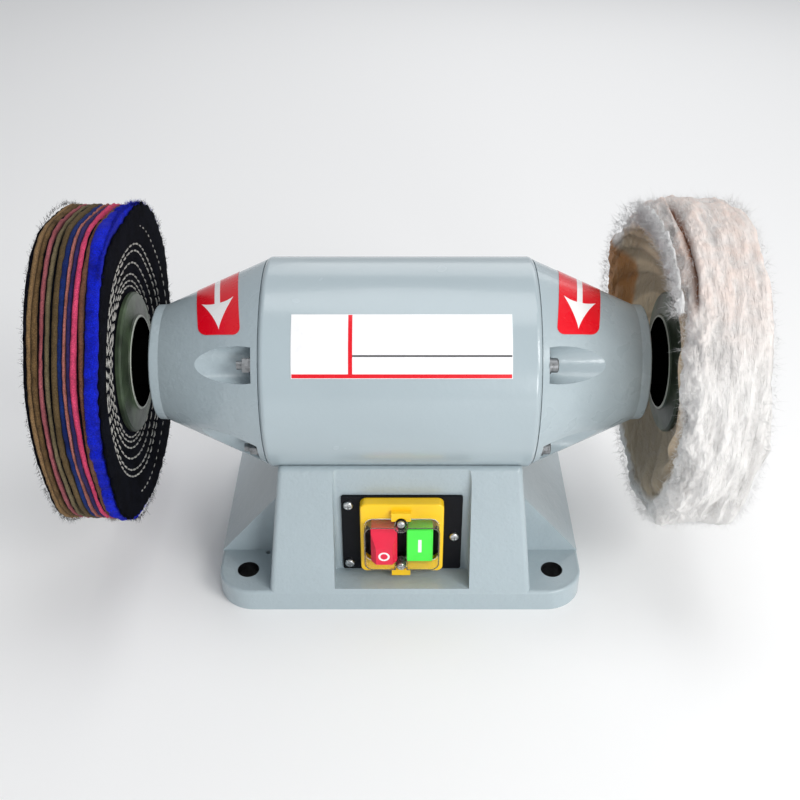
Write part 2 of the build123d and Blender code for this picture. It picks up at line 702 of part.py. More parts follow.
def switch_body():
    """The no-volt release: a block behind the plate with two wells and two screw bosses."""
    inset = (WINDOW_SIZE[0] - 0.6, WINDOW_SIZE[1] - 0.6)
    face = slab_along_y(inset, FRAME_FACE + BOSS_PROUD, PLATE_FACE, SWITCH_X, WINDOW_MIDDLE, 5.6)
    rear = -RECESS_FLOOR + SWITCH_BODY_DEPTH
    inner = (SWITCH_BODY[0] - 0.4, SWITCH_BODY[1] - 0.4)
    body = face + slab_along_y(inner, PLATE_FACE, rear, SWITCH_X, WINDOW_MIDDLE, 1.8)
    for offset in (-BUTTON_OFFSET, BUTTON_OFFSET):
        body -= button_box(offset, 0.3)
    for x, z in frame_screw_places():
        body += bar_along_y(SCREW_BOSS, FRAME_FACE - BOSS_PROUD, FRAME_FACE + BOSS_PROUD, x, z)
        body -= bar_along_y(1.3, FRAME_FACE - 5, FRAME_FACE + BOSS_PROUD, x, z)
    return body


def switch_frame_screws():
    screw = FORWARD * pan_head(2.6, 1.9, 1.3, 8)
    return group([Pos(x, FRAME_FACE - BOSS_PROUD, z) * screw for x, z in frame_screw_places()])


def switch_guard():
    """A clear collar that stands round both buttons and bends inwards round the screw bosses."""
    front = FRAME_FACE - GUARD_PROUD
    outer = (WINDOW_SIZE[0] - 0.2, WINDOW_SIZE[1] - 0.2)
    inner = (outer[0] - 2 * GUARD_WALL, outer[1] - 2 * GUARD_WALL)
    collar = slab_along_y(outer, front, FRAME_FACE, SWITCH_X, WINDOW_MIDDLE, 5.8)
    hollow = slab_along_y(inner, front, FRAME_FACE, SWITCH_X, WINDOW_MIDDLE, 5)
    for x, z in frame_screw_places():
        collar -= bar_along_y(SCREW_BOSS + 0.2, front, FRAME_FACE, x, z)
        hollow -= bar_along_y(SCREW_BOSS + 0.2 + GUARD_WALL, front, FRAME_FACE, x, z)
    return collar - hollow


def stop_button():
    """The raised button, with a long bevel down from its top and a short one each side."""
    width, height = BUTTON_SIZE
    face = FRAME_FACE - STOP_PROUD
    cap = slab_along_y(BUTTON_SIZE, face, BUTTON_REAR, SWITCH_X - BUTTON_OFFSET, BUTTON_MIDDLE, 1)
    top = BUTTON_MIDDLE + height / 2
    slope = [(face - 1, top - 14), (face + 0.01, top - 13), (face + 5.5, top + 1), (face - 1, top + 1)]
    cap -= extrude(Plane.YZ * make_face(Polyline(*slope, close=True)), 40, both=True)
    for side in (-1, 1):
        edge = SWITCH_X - BUTTON_OFFSET + side * width / 2
        inside = edge - side * 3.2
        outside = edge + side
        cut = [(inside, face), (inside, face - 1), (outside, face - 1), (outside, face + 5)]
        cap -= extrude(Plane.XY * make_face(Polyline(*cut, close=True)), 200)
    return cap


def start_button():
    face = FRAME_FACE - START_PROUD
    cap = slab_along_y(BUTTON_SIZE, face, BUTTON_REAR, SWITCH_X + BUTTON_OFFSET, BUTTON_MIDDLE, 1.2)
    return fillet(cap.faces().sort_by(Axis.Y)[0].edges(), 0.8)


def return_spring(offset):
    """A compression coil between a button's back and the bottom of its well."""
    length = WELL_REAR - BUTTON_REAR
    path = Helix(pitch=length / 4, height=length - 1.0, radius=SPRING_RADIUS)
    wire = sweep(Plane(path @ 0, z_dir=path % 0) * Circle(SPRING_WIRE), path=path, is_frenet=True)
    return Pos(SWITCH_X + offset, WELL_REAR - 0.5, BUTTON_MIDDLE) * FORWARD * wire


# ---------------------------------------------------------------- inside the base, and the gland


def capacitor():
    can = Pos(*CAPACITOR_PLACE) * AXIAL * Cylinder(*CAPACITOR)
    return fillet(can.edges().filter_by(GeomType.CIRCLE), 1.5)


def capacitor_clamp():
    radius, width = CLAMP_BAND
    band = Pos(*CAPACITOR_PLACE) * AXIAL * (Cylinder(radius, width) - Cylinder(CAPACITOR[0], width))
    reach = CAVITY_REAR - CLAMP_STRAP_START
    strap = Box(width, reach, CLAMP_STRAP_HEIGHT, align=(Align.CENTER, Align.MIN, Align.CENTER))
    return band + Pos(CAPACITOR_PLACE[0], CLAMP_STRAP_START, CAPACITOR_PLACE[2]) * strap


def terminal_block():
    x, y = TERMINAL_PLACE
    strip = Pos(x, y, COVER_SEAT) * Box(*TERMINAL_BLOCK, align=MIN)
    for i in range(4):
        place = x + TERMINAL_PITCH * (i - 1.5)
        strip -= Pos(place, y, COVER_SEAT + 8) * Cylinder(2.5, 20, align=MIN)
    return strip


def rear_face_y(z):
    """How far back the block's sloping rear face is at a height."""
    return BLOCK_FOOT_REAR + (BLOCK_TOP_REAR - BLOCK_FOOT_REAR) * z / BLOCK_TOP


def gland_face():
    """The flat front of the cast boss that the cable gland screws against."""
    return rear_face_y(GLAND_Z) + GLAND_BOSS_HEIGHT


def gland(radius_in, radius_out, start, end):
    """A tube on the gland's axis."""
    hole = bar_along_y(radius_in, start, end, GLAND_X, GLAND_Z)
    return bar_along_y(radius_out, start, end, GLAND_X, GLAND_Z) - hole


def gland_hex(rear):
    """The outline of a nut on the gland's axis, its rear face at the place given."""
    return Pos(GLAND_X, rear, GLAND_Z) * FORWARD * RegularPolygon(GLAND_HEX, 6, major_radius=False)


def cable_gland_body():
    face = gland_face()
    stem = gland(GLAND_BORE, GLAND_THREAD, face - 20, face + 10)
    flats = extrude(gland_hex(face + GLAND_HEX_LENGTH), GLAND_HEX_LENGTH)
    return stem + (flats - bar_along_y(GLAND_BORE, face - 20, face + 10, GLAND_X, GLAND_Z))


def cable_gland_cap():
    face = gland_face()
    shell = gland(GLAND_THREAD, GLAND_CAP_RADIUS, face + GLAND_HEX_LENGTH, face + 12)
    shell += gland(GLAND_BORE, GLAND_CAP_RADIUS, face + 12, face + 17)
    return fillet(shell.edges().filter_by(GeomType.CIRCLE).sort_by(Axis.Y)[-1], 2.0)


def cable_gland_seal():
    face = gland_face()
    return gland(GLAND_CABLE_RADIUS, GLAND_BORE, face - 2, face + 10)


def cable_gland_locknut():
    rear = CAVITY_REAR
    ring = extrude(gland_hex(rear), 4)
    return ring - bar_along_y(GLAND_THREAD, rear - 10, rear + 10, GLAND_X, GLAND_Z)


def build():
    os.makedirs("parts", exist_ok=True)
    pairs = {
        "end_bell": right_end_bell(),
        "bearing_outer_ring": bearing_ring(OUTER_RING_INNER, BEARING_RADIUS),
        "bearing_inner_ring": bearing_ring(BEARING_BORE, INNER_RING_OUTER),
        "bearing_balls": bearing_balls(),
        "bearing_cage": bearing_cage(),
        "wave_washer": wave_washer(),
        "arrow_label": right_arrow_label(),
        "inner_flange": inner_flange(),
        "outer_flange": outer_flange(),
        "arbor_nut": arbor_nut(),
    }
    nodes = {
        "base_casting": base_casting(),
        "bottom_plate": bottom_plate(),
        "bottom_plate_screws": bottom_plate_screws(),
        "saddle_screws": saddle_screws(),
        "motor_barrel": motor_barrel(),
        "tie_bolts": tie_bolts(),
        "tie_bolt_washers": tie_bolt_washers(),
        "tie_bolt_nuts": tie_bolt_nuts(),
        "stator_core": stator_core(),
        "stator_windings": stator_windings(),
        "rotor_core": rotor_core(),
        "rotor_cage": rotor_cage(),
        "shaft": shaft(),
        "left_buff": buff(*LEFT_BUFF, -1),
        "right_buff": buff(*RIGHT_BUFF, 1),
        "rating_label": rating_label(),
        "switch_plate": switch_plate(),
        "switch_plate_screws": switch_plate_screws(),
        "switch_frame": switch_frame(),
        "switch_frame_screws": switch_frame_screws(),
        "switch_body": switch_body(),
        "switch_guard": switch_guard(),
        "stop_button": stop_button(),
        "start_button": start_button(),
        "stop_spring": return_spring(-BUTTON_OFFSET),
        "start_spring": return_spring(BUTTON_OFFSET),
        "capacitor": capacitor(),
        "capacitor_clamp": capacitor_clamp(),
        "terminal_block": terminal_block(),
        "cable_gland_body": cable_gland_body(),
        "cable_gland_cap": cable_gland_cap(),
        "cable_gland_seal": cable_gland_seal(),
        "cable_gland_locknut": cable_gland_locknut(),
    }
    for name, piece in pairs.items():
        nodes[f"right_{name}"] = piece
        nodes[f"left_{name}"] = to_left(piece)
    for node, shape in nodes.items():
        save(node, shape)


build()
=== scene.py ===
import json
import math
import random

import bpy
import numpy as np
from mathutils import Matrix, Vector, noise


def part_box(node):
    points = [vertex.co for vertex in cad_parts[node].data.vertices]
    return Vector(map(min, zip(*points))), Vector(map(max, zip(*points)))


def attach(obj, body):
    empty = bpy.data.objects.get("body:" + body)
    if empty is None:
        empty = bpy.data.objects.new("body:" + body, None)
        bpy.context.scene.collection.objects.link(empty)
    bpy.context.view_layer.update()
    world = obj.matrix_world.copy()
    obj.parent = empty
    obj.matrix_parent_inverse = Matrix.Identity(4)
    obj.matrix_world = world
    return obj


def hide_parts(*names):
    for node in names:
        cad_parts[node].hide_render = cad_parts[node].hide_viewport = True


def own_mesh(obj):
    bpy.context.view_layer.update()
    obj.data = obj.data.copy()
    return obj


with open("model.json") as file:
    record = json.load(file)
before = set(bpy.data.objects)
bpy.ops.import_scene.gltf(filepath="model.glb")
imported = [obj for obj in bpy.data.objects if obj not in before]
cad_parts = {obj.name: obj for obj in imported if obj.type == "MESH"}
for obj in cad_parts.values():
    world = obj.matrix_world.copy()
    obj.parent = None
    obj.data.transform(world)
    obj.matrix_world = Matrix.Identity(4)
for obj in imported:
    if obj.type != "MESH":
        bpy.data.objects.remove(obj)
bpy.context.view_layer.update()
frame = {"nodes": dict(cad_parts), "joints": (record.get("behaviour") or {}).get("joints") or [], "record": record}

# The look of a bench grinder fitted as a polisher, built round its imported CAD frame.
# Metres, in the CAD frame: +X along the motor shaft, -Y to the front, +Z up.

MM = 0.001
TAU = 2 * math.pi

JOINTS = {joint["name"]: joint for joint in frame["joints"]}
AXIS_Z = JOINTS["rotor_spin"]["pos_m"][2]
ARBOR_RADIUS = 8 * MM
BORE_PLAY = 0.3 * MM

# Camera
CAMERA_PLACE = (0.0, -0.579, 0.521)
CAMERA_DOWN = 35.0
CAMERA_LENS = 49.2
CAMERA_SENSOR = 36.0

# Cloth buffs
LEFT_BUFF_LEAN = 4.4 * MM
FACE_STEP_BACK = 3.8 * MM
# How roughly the first ply, the second and the others are cut, in mm: in broad waves and in fine ones
CUT_ROUGHNESS = ((1.7, 1.1), (1.0, 0.7), (0.65, 0.3))
# A share of the stack's width
PLY_GAP = 0.02 / 44
QUILT_DEPTH = 0.6 * MM
STITCH_RADII = (0.0475, 0.0505, 0.0545, 0.0612, 0.0682, 0.0722)
STRAY_STITCH_RADIUS = 0.083
STITCH_LENGTH = 5.2 * MM
STITCH_GAP = 2.1 * MM
STITCH_HALF_WIDTH = 0.64 * MM
STITCH_SIDES = 6
THREAD_HALF_WIDTH = 0.11 * MM
FIBRE_HALF_WIDTH = 0.09 * MM
LIP_SET_BACK = 4.5 * MM
LIP_REACH = 14 * MM
COTTON_OUTER_INSET = 3.5 * MM
COTTON_RIM_INSET = 2 * MM
TORN_STRIP_SPAN = (49, 111)

# Stickers, with elevations in degrees: 0 at the front and 90 at the top
LABEL_THICKNESS = 0.3 * MM
CONE_SLOPE = 28.0 / 63.0
STICKER_SPAN = (50.0, 116.0)
STICKER_CORNER = 5 * MM
STICKER_TILT = 3.8
STICKER_ASKEW = 5.5 * MM
STICKER_HEIGHTS = (0.02 * MM, 0.26 * MM)
RIGHT_STICKER_SHIFT = 1.8 * MM
ARROW_SHAFT_HALF = 1.7 * MM
ARROW_HEAD_HALF = 10 * MM
ARROW_WINGS = 77.0
ARROW_NOTCH = 74.0
ARROW_TIP = 53.5
ARROW_INK = (0.24 * MM, 0.32 * MM)

# Rating plate
PLATE_SPAN = (24.5, 57.3)
PLATE_MARGIN = 0.3
PLATE_INSET = 0.4 * MM
PLATE_INK = (0.28 * MM, 0.36 * MM)
PLATE_BAR = 2.3 * MM
PLATE_COLUMN = 34 * MM
PLATE_COLUMN_HALF = 1.2 * MM
PLATE_LINE_RISE = 10.6
PLATE_LINE = 1.0 * MM

# Button marks and springs
MARK_HALF_DEPTH = 0.05 * MM
OFF_RING = (2.35 * MM, 3.6 * MM)
OFF_RING_RISE = 6.9 * MM
ON_BAR_HALF = (1.1 * MM, 5.25 * MM)
SPRING_WIRE = 0.4 * MM


# ---- camera, lights and floor


def make_camera():
    """Looks down on the front of the machine."""
    data = bpy.data.cameras.new("camera")
    data.lens = CAMERA_LENS
    data.sensor_width = CAMERA_SENSOR
    data.clip_start = 0.01
    camera = bpy.data.objects.new("camera", data)
    camera.location = CAMERA_PLACE
    camera.rotation_euler = (math.pi / 2 - math.radians(CAMERA_DOWN), 0.0, 0.0)
    bpy.context.scene.collection.objects.link(camera)
    bpy.context.scene.camera = camera


def area_light(name, place, target, size, watts, colour=(1, 1, 1)):
    """A soft rectangular light that faces a target."""
    data = bpy.data.lights.new(name, "AREA")
    data.shape = "RECTANGLE"
    data.size = size[0]
    data.size_y = size[1]
    data.energy = watts
    data.color = colour
    lamp = bpy.data.objects.new(name, data)
    lamp.location = place
    lamp.rotation_euler = (Vector(target) - Vector(place)).to_track_quat("-Z", "Y").to_euler()
    bpy.context.scene.collection.objects.link(lamp)


def make_lights():
    """A key light from the right, weaker ones all round, and a pale sky."""
    middle = (0.0, 0.0, 0.12)
    area_light("key_light", (1.0, -0.85, 0.95), middle, (0.6, 0.6), 10.5, (1.0, 0.985, 0.96))
    area_light("top_light", (0.1, 0.1, 1.5), middle, (1.0, 0.7), 5.5)
    area_light("front_right", (0.5, -1.25, 0.35), (0.14, 0.0, 0.12), (0.35, 0.35), 5.2)
    area_light("left_fill", (-1.2, -0.8, 0.5), middle, (0.8, 0.8), 0.4, (0.95, 0.98, 1.0))
    area_light("rear_light", (0.3, 1.3, 0.9), middle, (1.2, 0.8), 4.0)
    world = bpy.data.worlds.new("studio")
    world.use_nodes = True
    sky = world.node_tree.nodes["Background"].inputs
    sky["Color"].default_value = (0.95, 0.97, 1.0, 1.0)
    sky["Strength"].default_value = 0.45
    bpy.context.scene.world = world
    bpy.context.scene.view_settings.view_transform = "Standard"


def make_floor():
    """A plain pale floor."""
    half = 6.0
    corners = [(-half, -half, 0), (half, -half, 0), (half, half, 0), (-half, half, 0)]
    mesh = bpy.data.meshes.new("floor")
    mesh.from_pydata(corners, [], [(0, 1, 2, 3)])
    floor = bpy.data.objects.new("floor", mesh)
    bpy.context.scene.collection.objects.link(floor)
    pale = Look("pale_floor", (0.93, 0.93, 0.93), 0.85)
    mesh.materials.append(pale.material)


# ---- materials


class Look:
    """A Principled material, with short calls that add texture nodes in object coordinates."""

    def __init__(self, name, colour, roughness, **sockets):
        self.material = bpy.data.materials.new(name)
        self.material.use_nodes = True
        self.tree = self.material.node_tree
        self.shader = self.tree.nodes["Principled BSDF"]
        self.set("Base Color", (*colour, 1.0))
        self.set("Roughness", roughness)
        for socket, value in sockets.items():
            self.set(socket.replace("_", " "), value)
        self.place = self.tree.nodes.new("ShaderNodeTexCoord").outputs["Object"]

    def set(self, socket, value):
        self.shader.inputs[socket].default_value = value

    def add(self, kind, inputs=None, **settings):
        node = self.tree.nodes.new(kind)
        for key, value in settings.items():
            setattr(node, key, value)
        for key, value in (inputs or {}).items():
            if isinstance(value, bpy.types.NodeSocket):
                self.tree.links.new(value, node.inputs[key])
            else:
                node.inputs[key].default_value = value
        return node

    def math(self, operation, a, b=0.0):
        return self.add("ShaderNodeMath", {0: a, 1: b}, operation=operation).outputs[0]

    def stretched(self, scale):
        """The place, scaled by a different amount along each axis."""
        return self.add("ShaderNodeMapping", {"Vector": self.place, "Scale": scale}).outputs[0]

    def noise(self, scale, detail=2.0, roughness=0.5, place=None):
        inputs = {"Vector": place or self.place, "Scale": scale, "Detail": detail, "Roughness": roughness}
        return self.add("ShaderNodeTexNoise", inputs).outputs["Fac"]

    def ramp(self, value, low, high):
        """0 below low and 1 above high."""
        inputs = {"Value": value, "From Min": low, "From Max": high}
        return self.add("ShaderNodeMapRange", inputs).outputs[0]

    def mix(self, factor, a, b):
        """A blend of two colours, each a triple or a socket."""
        node = self.add("ShaderNodeMix", {0: factor}, data_type="RGBA")
        for socket, colour in ((6, a), (7, b)):
            if isinstance(colour, bpy.types.NodeSocket):
                self.tree.links.new(colour, node.inputs[socket])
            else:
                node.inputs[socket].default_value = (*colour, 1.0)
        return node.outputs[2]

    def colour(self, socket):
        self.tree.links.new(socket, self.shader.inputs["Base Color"])

    def roughness(self, value, low, high):
        """Roughness from low to high as a texture value goes from 0 to 1."""
        spread = self.add("ShaderNodeMapRange", {"Value": value, "To Min": low, "To Max": high}).outputs[0]
        self.tree.links.new(spread, self.shader.inputs["Roughness"])

    def bump(self, height, distance):
        """Adds to whatever bump the material already has."""
        node = self.add("ShaderNodeBump", {"Height": height, "Distance": distance, "Strength": 1.0})
        normal = self.shader.inputs["Normal"]
        if normal.is_linked:
            self.tree.links.new(normal.links[0].from_socket, node.inputs["Normal"])
        self.tree.links.new(node.outputs[0], normal)

    def split(self):
        """The place's x, y and z."""
        return self.add("ShaderNodeSeparateXYZ", {"Vector": self.place}).outputs

    def length(self, a, b):
        """The length of a step of a and b at right angles."""
        square = self.math("ADD", self.math("MULTIPLY", a, a), self.math("MULTIPLY", b, b))
        return self.math("SQRT", square)

    def axis_radius(self):
        """The distance from the motor's axis."""
        _, y, z = self.split()
        return self.length(y, self.math("SUBTRACT", z, AXIS_Z))

    def stripes(self, along, pitch):
        """A wave from -1 to 1 that repeats at a pitch."""
        return self.math("SINE", self.math("MULTIPLY", along, TAU / pitch))


def bench_hole_shade(look):
    """1 inside the four bench holes, whose walls are painted near black: shade for the holes' depth, over the dark
    of their bare bored metal.
    """
    pattern = next(mount for mount in frame["record"]["mounts"] if mount["name"] == "bench_bolts")
    dims = pattern["dims"]
    reach = (dims["hole_r_mm"] + 0.1) * MM
    x, y, _ = look.split()
    mask = 0.0
    for side in (-1, 1):
        for end in (-1, 1):
            across = look.math("SUBTRACT", x, pattern["pos_m"][0] + side * dims["spacing_x_mm"] / 2 * MM)
            deep = look.math("SUBTRACT", y, pattern["pos_m"][1] + end * dims["spacing_y_mm"] / 2 * MM)
            mask = look.math("MAXIMUM", mask, look.math("LESS_THAN", look.length(across, deep), reach))
    return mask


def enamel(name, colour, cast, shaded_holes=False):
    """Glossy grey-blue enamel. cast, from 0 to 1, is how much of a casting's skin shows through."""
    look = Look(name, colour, 0.3, Coat_Weight=0.35, Coat_Roughness=0.12)
    darker = tuple(c * 0.9 for c in colour)
    lighter = tuple(min(1.0, c * 1.1) for c in colour)
    shade = look.mix(look.noise(9.0, 3.0), darker, lighter)
    specks = look.math("MULTIPLY", look.ramp(look.noise(1100.0, 1.0), 0.68, 0.76), 0.05 + 0.12 * cast)
    paint_colour = look.mix(specks, shade, (0.12, 0.14, 0.15))
    # Painted shade: near black on the bench holes' walls, standing in for their depth as well as their bare metal.
    if shaded_holes:
        paint_colour = look.mix(bench_hole_shade(look), paint_colour, (0.006, 0.006, 0.007))
    look.colour(paint_colour)
    look.roughness(look.noise(60.0, 2.0), 0.2 + 0.08 * cast, 0.3 + 0.14 * cast)
    look.bump(look.noise(420.0, 1.0), 0.00005 + 0.0003 * cast)
    look.bump(look.noise(110.0, 2.0), 0.00008 + 0.0005 * cast)
    return look.material


def plated_steel(name, colour=(0.62, 0.63, 0.64), roughness=0.3):
    """Plated or plain machined metal with patches of tarnish."""
    look = Look(name, colour, roughness, Metallic=1.0)
    tarnish = look.ramp(look.noise(420.0, 3.0), 0.5, 0.72)
    look.colour(look.mix(tarnish, colour, tuple(c * 0.45 for c in colour)))
    look.roughness(look.noise(900.0, 2.0), roughness * 0.8, roughness * 1.5)
    look.bump(look.noise(1500.0, 2.0), 0.00004)
    return look.material


def turned_steel(name, colour, roughness, metallic, sheen_colour, dark_radius=0.0):
    """Turned metal: fine rings about the motor's axis and smears of another shade.

    Inside dark_radius it is black, partly painted shade for the hub's dish beside the motor and partly its black
    finish, with a lighter ring just outside it."""
    look = Look(name, colour, roughness, Metallic=metallic)
    radius = look.axis_radius()
    rings = look.stripes(radius, 0.6 * MM)
    shade = look.mix(look.ramp(look.noise(38.0, 3.0), 0.42, 0.68), colour, sheen_colour)
    if dark_radius:
        # Painted shade: black inside dark_radius, for the shadowed dish of the inner flange's hub as well as its
        # black finish.
        inside = look.math("LESS_THAN", radius, dark_radius)
        shade = look.mix(inside, shade, (0.002, 0.002, 0.002))
        from_edge = look.math("ABSOLUTE", look.math("SUBTRACT", radius, dark_radius + 0.9 * MM))
        edge = look.math("LESS_THAN", from_edge, 0.6 * MM)
        shade = look.mix(look.math("MULTIPLY", edge, 0.7), shade, (0.55, 0.58, 0.52))
        flat = look.math("SUBTRACT", 1.0, inside)
        look.tree.links.new(look.math("MULTIPLY", flat, metallic), look.shader.inputs["Metallic"])
        look.tree.links.new(look.math("MULTIPLY", flat, 0.3), look.shader.inputs["Specular IOR Level"])
    look.colour(shade)
    look.roughness(look.noise(120.0, 3.0), roughness * 0.75, roughness * 1.35)
    look.bump(rings, 0.00002)
    look.bump(look.noise(700.0, 2.0), 0.00005)
    return look.material


def moulded(name, colour, roughness, grain=0.00005, **sockets):
    """Moulded plastic with a faint grain and uneven gloss."""
    look = Look(name, colour, roughness, **sockets)
    dull = tuple(c * 0.88 for c in colour)
    look.colour(look.mix(look.ramp(look.noise(45.0, 3.0), 0.4, 0.7), colour, dull))
    look.roughness(look.noise(160.0, 3.0), roughness * 0.8, roughness * 1.3)
    look.bump(look.noise(1400.0, 2.0), grain)
    return look.material


def clear_plastic(name):
    """Clear plastic with faint smears."""
    look = Look(name, (0.97, 0.97, 0.95), 0.08, IOR=1.46, Transmission_Weight=0.96)
    look.roughness(look.noise(220.0, 3.0), 0.04, 0.16)
    look.bump(look.noise(300.0, 2.0), 0.00006)
    return look.material


def film(name, colour):
    """Printed plastic film, slightly uneven."""
    look = Look(name, colour, 0.25, Coat_Weight=0.25, Coat_Roughness=0.1)
    faded = tuple(c * 0.94 for c in colour)
    look.colour(look.mix(look.ramp(look.noise(30.0, 2.0), 0.35, 0.7), colour, faded))
    look.roughness(look.noise(90.0, 2.0), 0.2, 0.34)
    look.bump(look.noise(160.0, 2.0), 0.00004)
    return look.material


def laminations(name):
    """Stacked steel sheets, seen as lines across the shaft."""
    look = Look(name, (0.2, 0.2, 0.21), 0.4, Metallic=0.9)
    sheets = look.stripes(look.split()[0], 1 * MM)
    look.colour(look.mix(look.ramp(sheets, -0.2, 0.6), (0.1, 0.1, 0.11), (0.26, 0.26, 0.27)))
    look.bump(sheets, 0.0001)
    return look.material


def copper(name):
    """Enamelled wire, as streaks across the shaft."""
    look = Look(name, (0.55, 0.22, 0.09), 0.32, Metallic=0.9)
    wires = look.noise(1.0, 2.0, place=look.stretched((300.0, 1200.0, 1200.0)))
    look.colour(look.mix(wires, (0.3, 0.1, 0.04), (0.7, 0.3, 0.12)))
    look.bump(wires, 0.0003)
    return look.material


def cloth(name, colour, other, lint=0.07):
    """Woven cotton: a fine weave across the faces, cut thread ends, lint, uneven dye and painted shade between the
    threads.
    """
    deep = sum(colour) < 0.03
    sheen, specular = (0.0, 0.03) if deep else (0.03, 0.15)
    look = Look(name, colour, 0.92, Sheen_Weight=sheen, Specular_IOR_Level=specular)
    dye = look.mix(look.ramp(look.noise(55.0, 4.0), 0.36, 0.66), colour, other)
    _, y, z = look.split()
    weave = look.math("MULTIPLY", look.stripes(y, 1.1 * MM), look.stripes(z, 1.1 * MM))
    grain = look.noise(1500.0, 2.0)
    patches = look.ramp(look.noise(130.0, 4.0, 0.7), 0.5, 0.72)
    worn = look.mix(patches, dye, tuple(c * 0.5 for c in colour))
    # Painted shade: darker between the threads, following the fine grain.
    thread_gap_shade = look.math("MULTIPLY", look.ramp(grain, 0.35, 0.65), 0.7)
    shade = look.mix(thread_gap_shade, worn, tuple(c * 0.3 for c in colour))
    flecks = look.ramp(look.noise(2600.0, 1.0), 0.68, 0.76)
    flecks = look.math("MULTIPLY", flecks, lint * (0.3 if deep else 1.0))
    look.colour(look.mix(flecks, shade, (0.6, 0.6, 0.6)))
    look.bump(weave, 0.125 * MM)
    look.bump(grain, 0.25 * MM)
    look.bump(look.noise(240.0, 3.0), 0.8 * MM)
    return look.material


# ---- mesh helpers


def add_object(name, points, faces, material, body, smooth=True):
    """A mesh piece that rides on a CAD body, with the finish it is given."""
    mesh = bpy.data.meshes.new(name)
    mesh.from_pydata([tuple(p) for p in points], [], faces)
    mesh.validate()
    mesh.update()
    mesh.polygons.foreach_set("use_smooth", [smooth] * len(mesh.polygons))
    mesh.materials.append(material)
    piece = bpy.data.objects.new(name, mesh)
    bpy.context.scene.collection.objects.link(piece)
    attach(piece, body)
    return piece


def ring_faces(rows, columns, first=0, closed=False):
    """Quads between rows of points that each go right round; closed joins the last row to the first."""
    faces = []
    for i in range(rows if closed else rows - 1):
        a = first + i * columns
        b = first + ((i + 1) % rows) * columns
        for j in range(columns):
            k = (j + 1) % columns
            faces.append((a + j, a + k, b + k, b + j))
    return faces


def wobble(rng, low, high, count=6, fall=1.0):
    """A smooth closed wave over the angle, about 1 high, from sines of random phase."""
    parts = []
    for _ in range(count):
        turns = rng.randint(low, high)
        parts.append((turns, rng.uniform(0, TAU), (low / turns) ** fall))
    size = math.sqrt(sum(p[2] ** 2 for p in parts) / 2) * 1.6

    def wave(angle):
        return sum(a * np.sin(n * angle + phase) for n, phase, a in parts) / size

    return wave


def smoothstep(value):
    """0 up to 0, 1 from 1, and a smooth rise between."""
    value = np.clip(value, 0.0, 1.0)
    return value * value * (3 - 2 * value)


def between(angle, start, end, soft):
    """1 between two angles in degrees, fading over a few degrees at both ends."""
    middle = (start + end) / 2
    off = np.abs((np.degrees(angle) - middle + 180) % 360 - 180)
    return 1 - smoothstep((off - (end - start) / 2 + soft) / soft)


def on_axis(x, radius, angle):
    """Points at x along the shaft, at a radius and angle about it. Angle 0 is the front and TAU/4 the top."""
    return np.stack([x, -radius * np.cos(angle), AXIS_Z + radius * np.sin(angle)], axis=-1)


def hairs(name, roots, directions, lengths, thickness, rng, material, body, slot_name, curl=0.5):
    """Short bent threads, each a three-sided tube that tapers to its end."""
    points = []
    faces = []
    steps = 4
    for root, direction, length in zip(roots, directions, lengths):
        base = len(points)
        along = Vector(direction).normalized()
        side = along.orthogonal().normalized()
        bend = Vector((rng.uniform(-1, 1), rng.uniform(-1, 1), rng.uniform(-1, 1))) * curl
        for i in range(steps):
            t = i / (steps - 1)
            centre = Vector(root) + along * (length * t) + bend * (length * t * t)
            for k in range(3):
                turn = TAU * k / 3
                offset = side * math.cos(turn) + along.cross(side) * math.sin(turn)
                points.append(centre + offset * (thickness * (1 - 0.75 * t)))
        faces += ring_faces(steps, 3, first=base)
        top = base + (steps - 1) * 3
        faces.append((base + 2, base + 1, base))
        faces.append((top, top + 1, top + 2))
    return add_object(name, points, faces, material, body)


# ---- left buff: sewn coloured plies


class Stack:
    """Where a clamped stack of cloth lies: f goes from 0 on its motor side to 1 on its outer side."""

    def __init__(self, side, seed):
        inner_low, inner_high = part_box(f"{side}_inner_flange")
        outer_low, outer_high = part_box(f"{side}_outer_flange")
        low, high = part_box(f"{side}_buff")
        self.side = -1 if side == "left" else 1
        self.clamp = (inner_low.x, outer_high.x) if self.side < 0 else (inner_high.x, outer_low.x)
        self.rim = (high.x, low.x) if self.side < 0 else (low.x, high.x)
        self.radius = (high.z - low.z) / 2
        self.hub = (inner_high.z - inner_low.z) / 2 + 2.5 * MM
        self.rng = random.Random(seed)
        self.sway = wobble(self.rng, 2, 7, 5)
        self.outline = wobble(self.rng, 5, 13, 5)
        self.lean = self.side * LEFT_BUFF_LEAN if side == "left" else 0.0

    def spread(self, radius):
        """0 where the flanges hold the stack flat and 1 at its rim."""
        return smoothstep((radius - self.hub) / (0.93 * self.radius - self.hub)) ** 0.8

    def x(self, f, radius, angle):
        share = self.spread(radius)
        clamped = self.clamp[0] + f * (self.clamp[1] - self.clamp[0])
        free = self.rim[0] + f * (self.rim[1] - self.rim[0])
        pushed = self.lean * (1 - f) * (0.5 + 0.5 * np.cos(angle + TAU / 8))
        swayed = self.sway(angle) * 1.2 * MM
        return clamped + share * (free - clamped) + share**2 * swayed + share**0.6 * pushed


PLIES = (
    # colour, share of the width, and how far its edge stands back from the rim, from the motor side out
    ("black", 1.8, 1.3),
    ("blue", 7.4, 0.0),
    ("brown", 2.7, 0.6),
    ("black", 1.1, 2.0),
    ("pink", 3.0, 0.1),
    ("purple", 3.2, 1.1),
    ("rust", 1.4, 0.3),
    ("navy", 3.6, 0.9),
    ("olive_brown", 3.4, 0.3),
    ("black", 1.4, 2.2),
    ("olive", 2.2, 0.4),
    ("black", 1.3, 2.1),
    ("dusty_pink", 2.1, 0.3),
    ("black", 1.4, 2.1),
    ("dark_brown", 3.2, 0.8),
    ("tan", 2.5, 0.3),
    ("black", 2.2, 1.4),
)

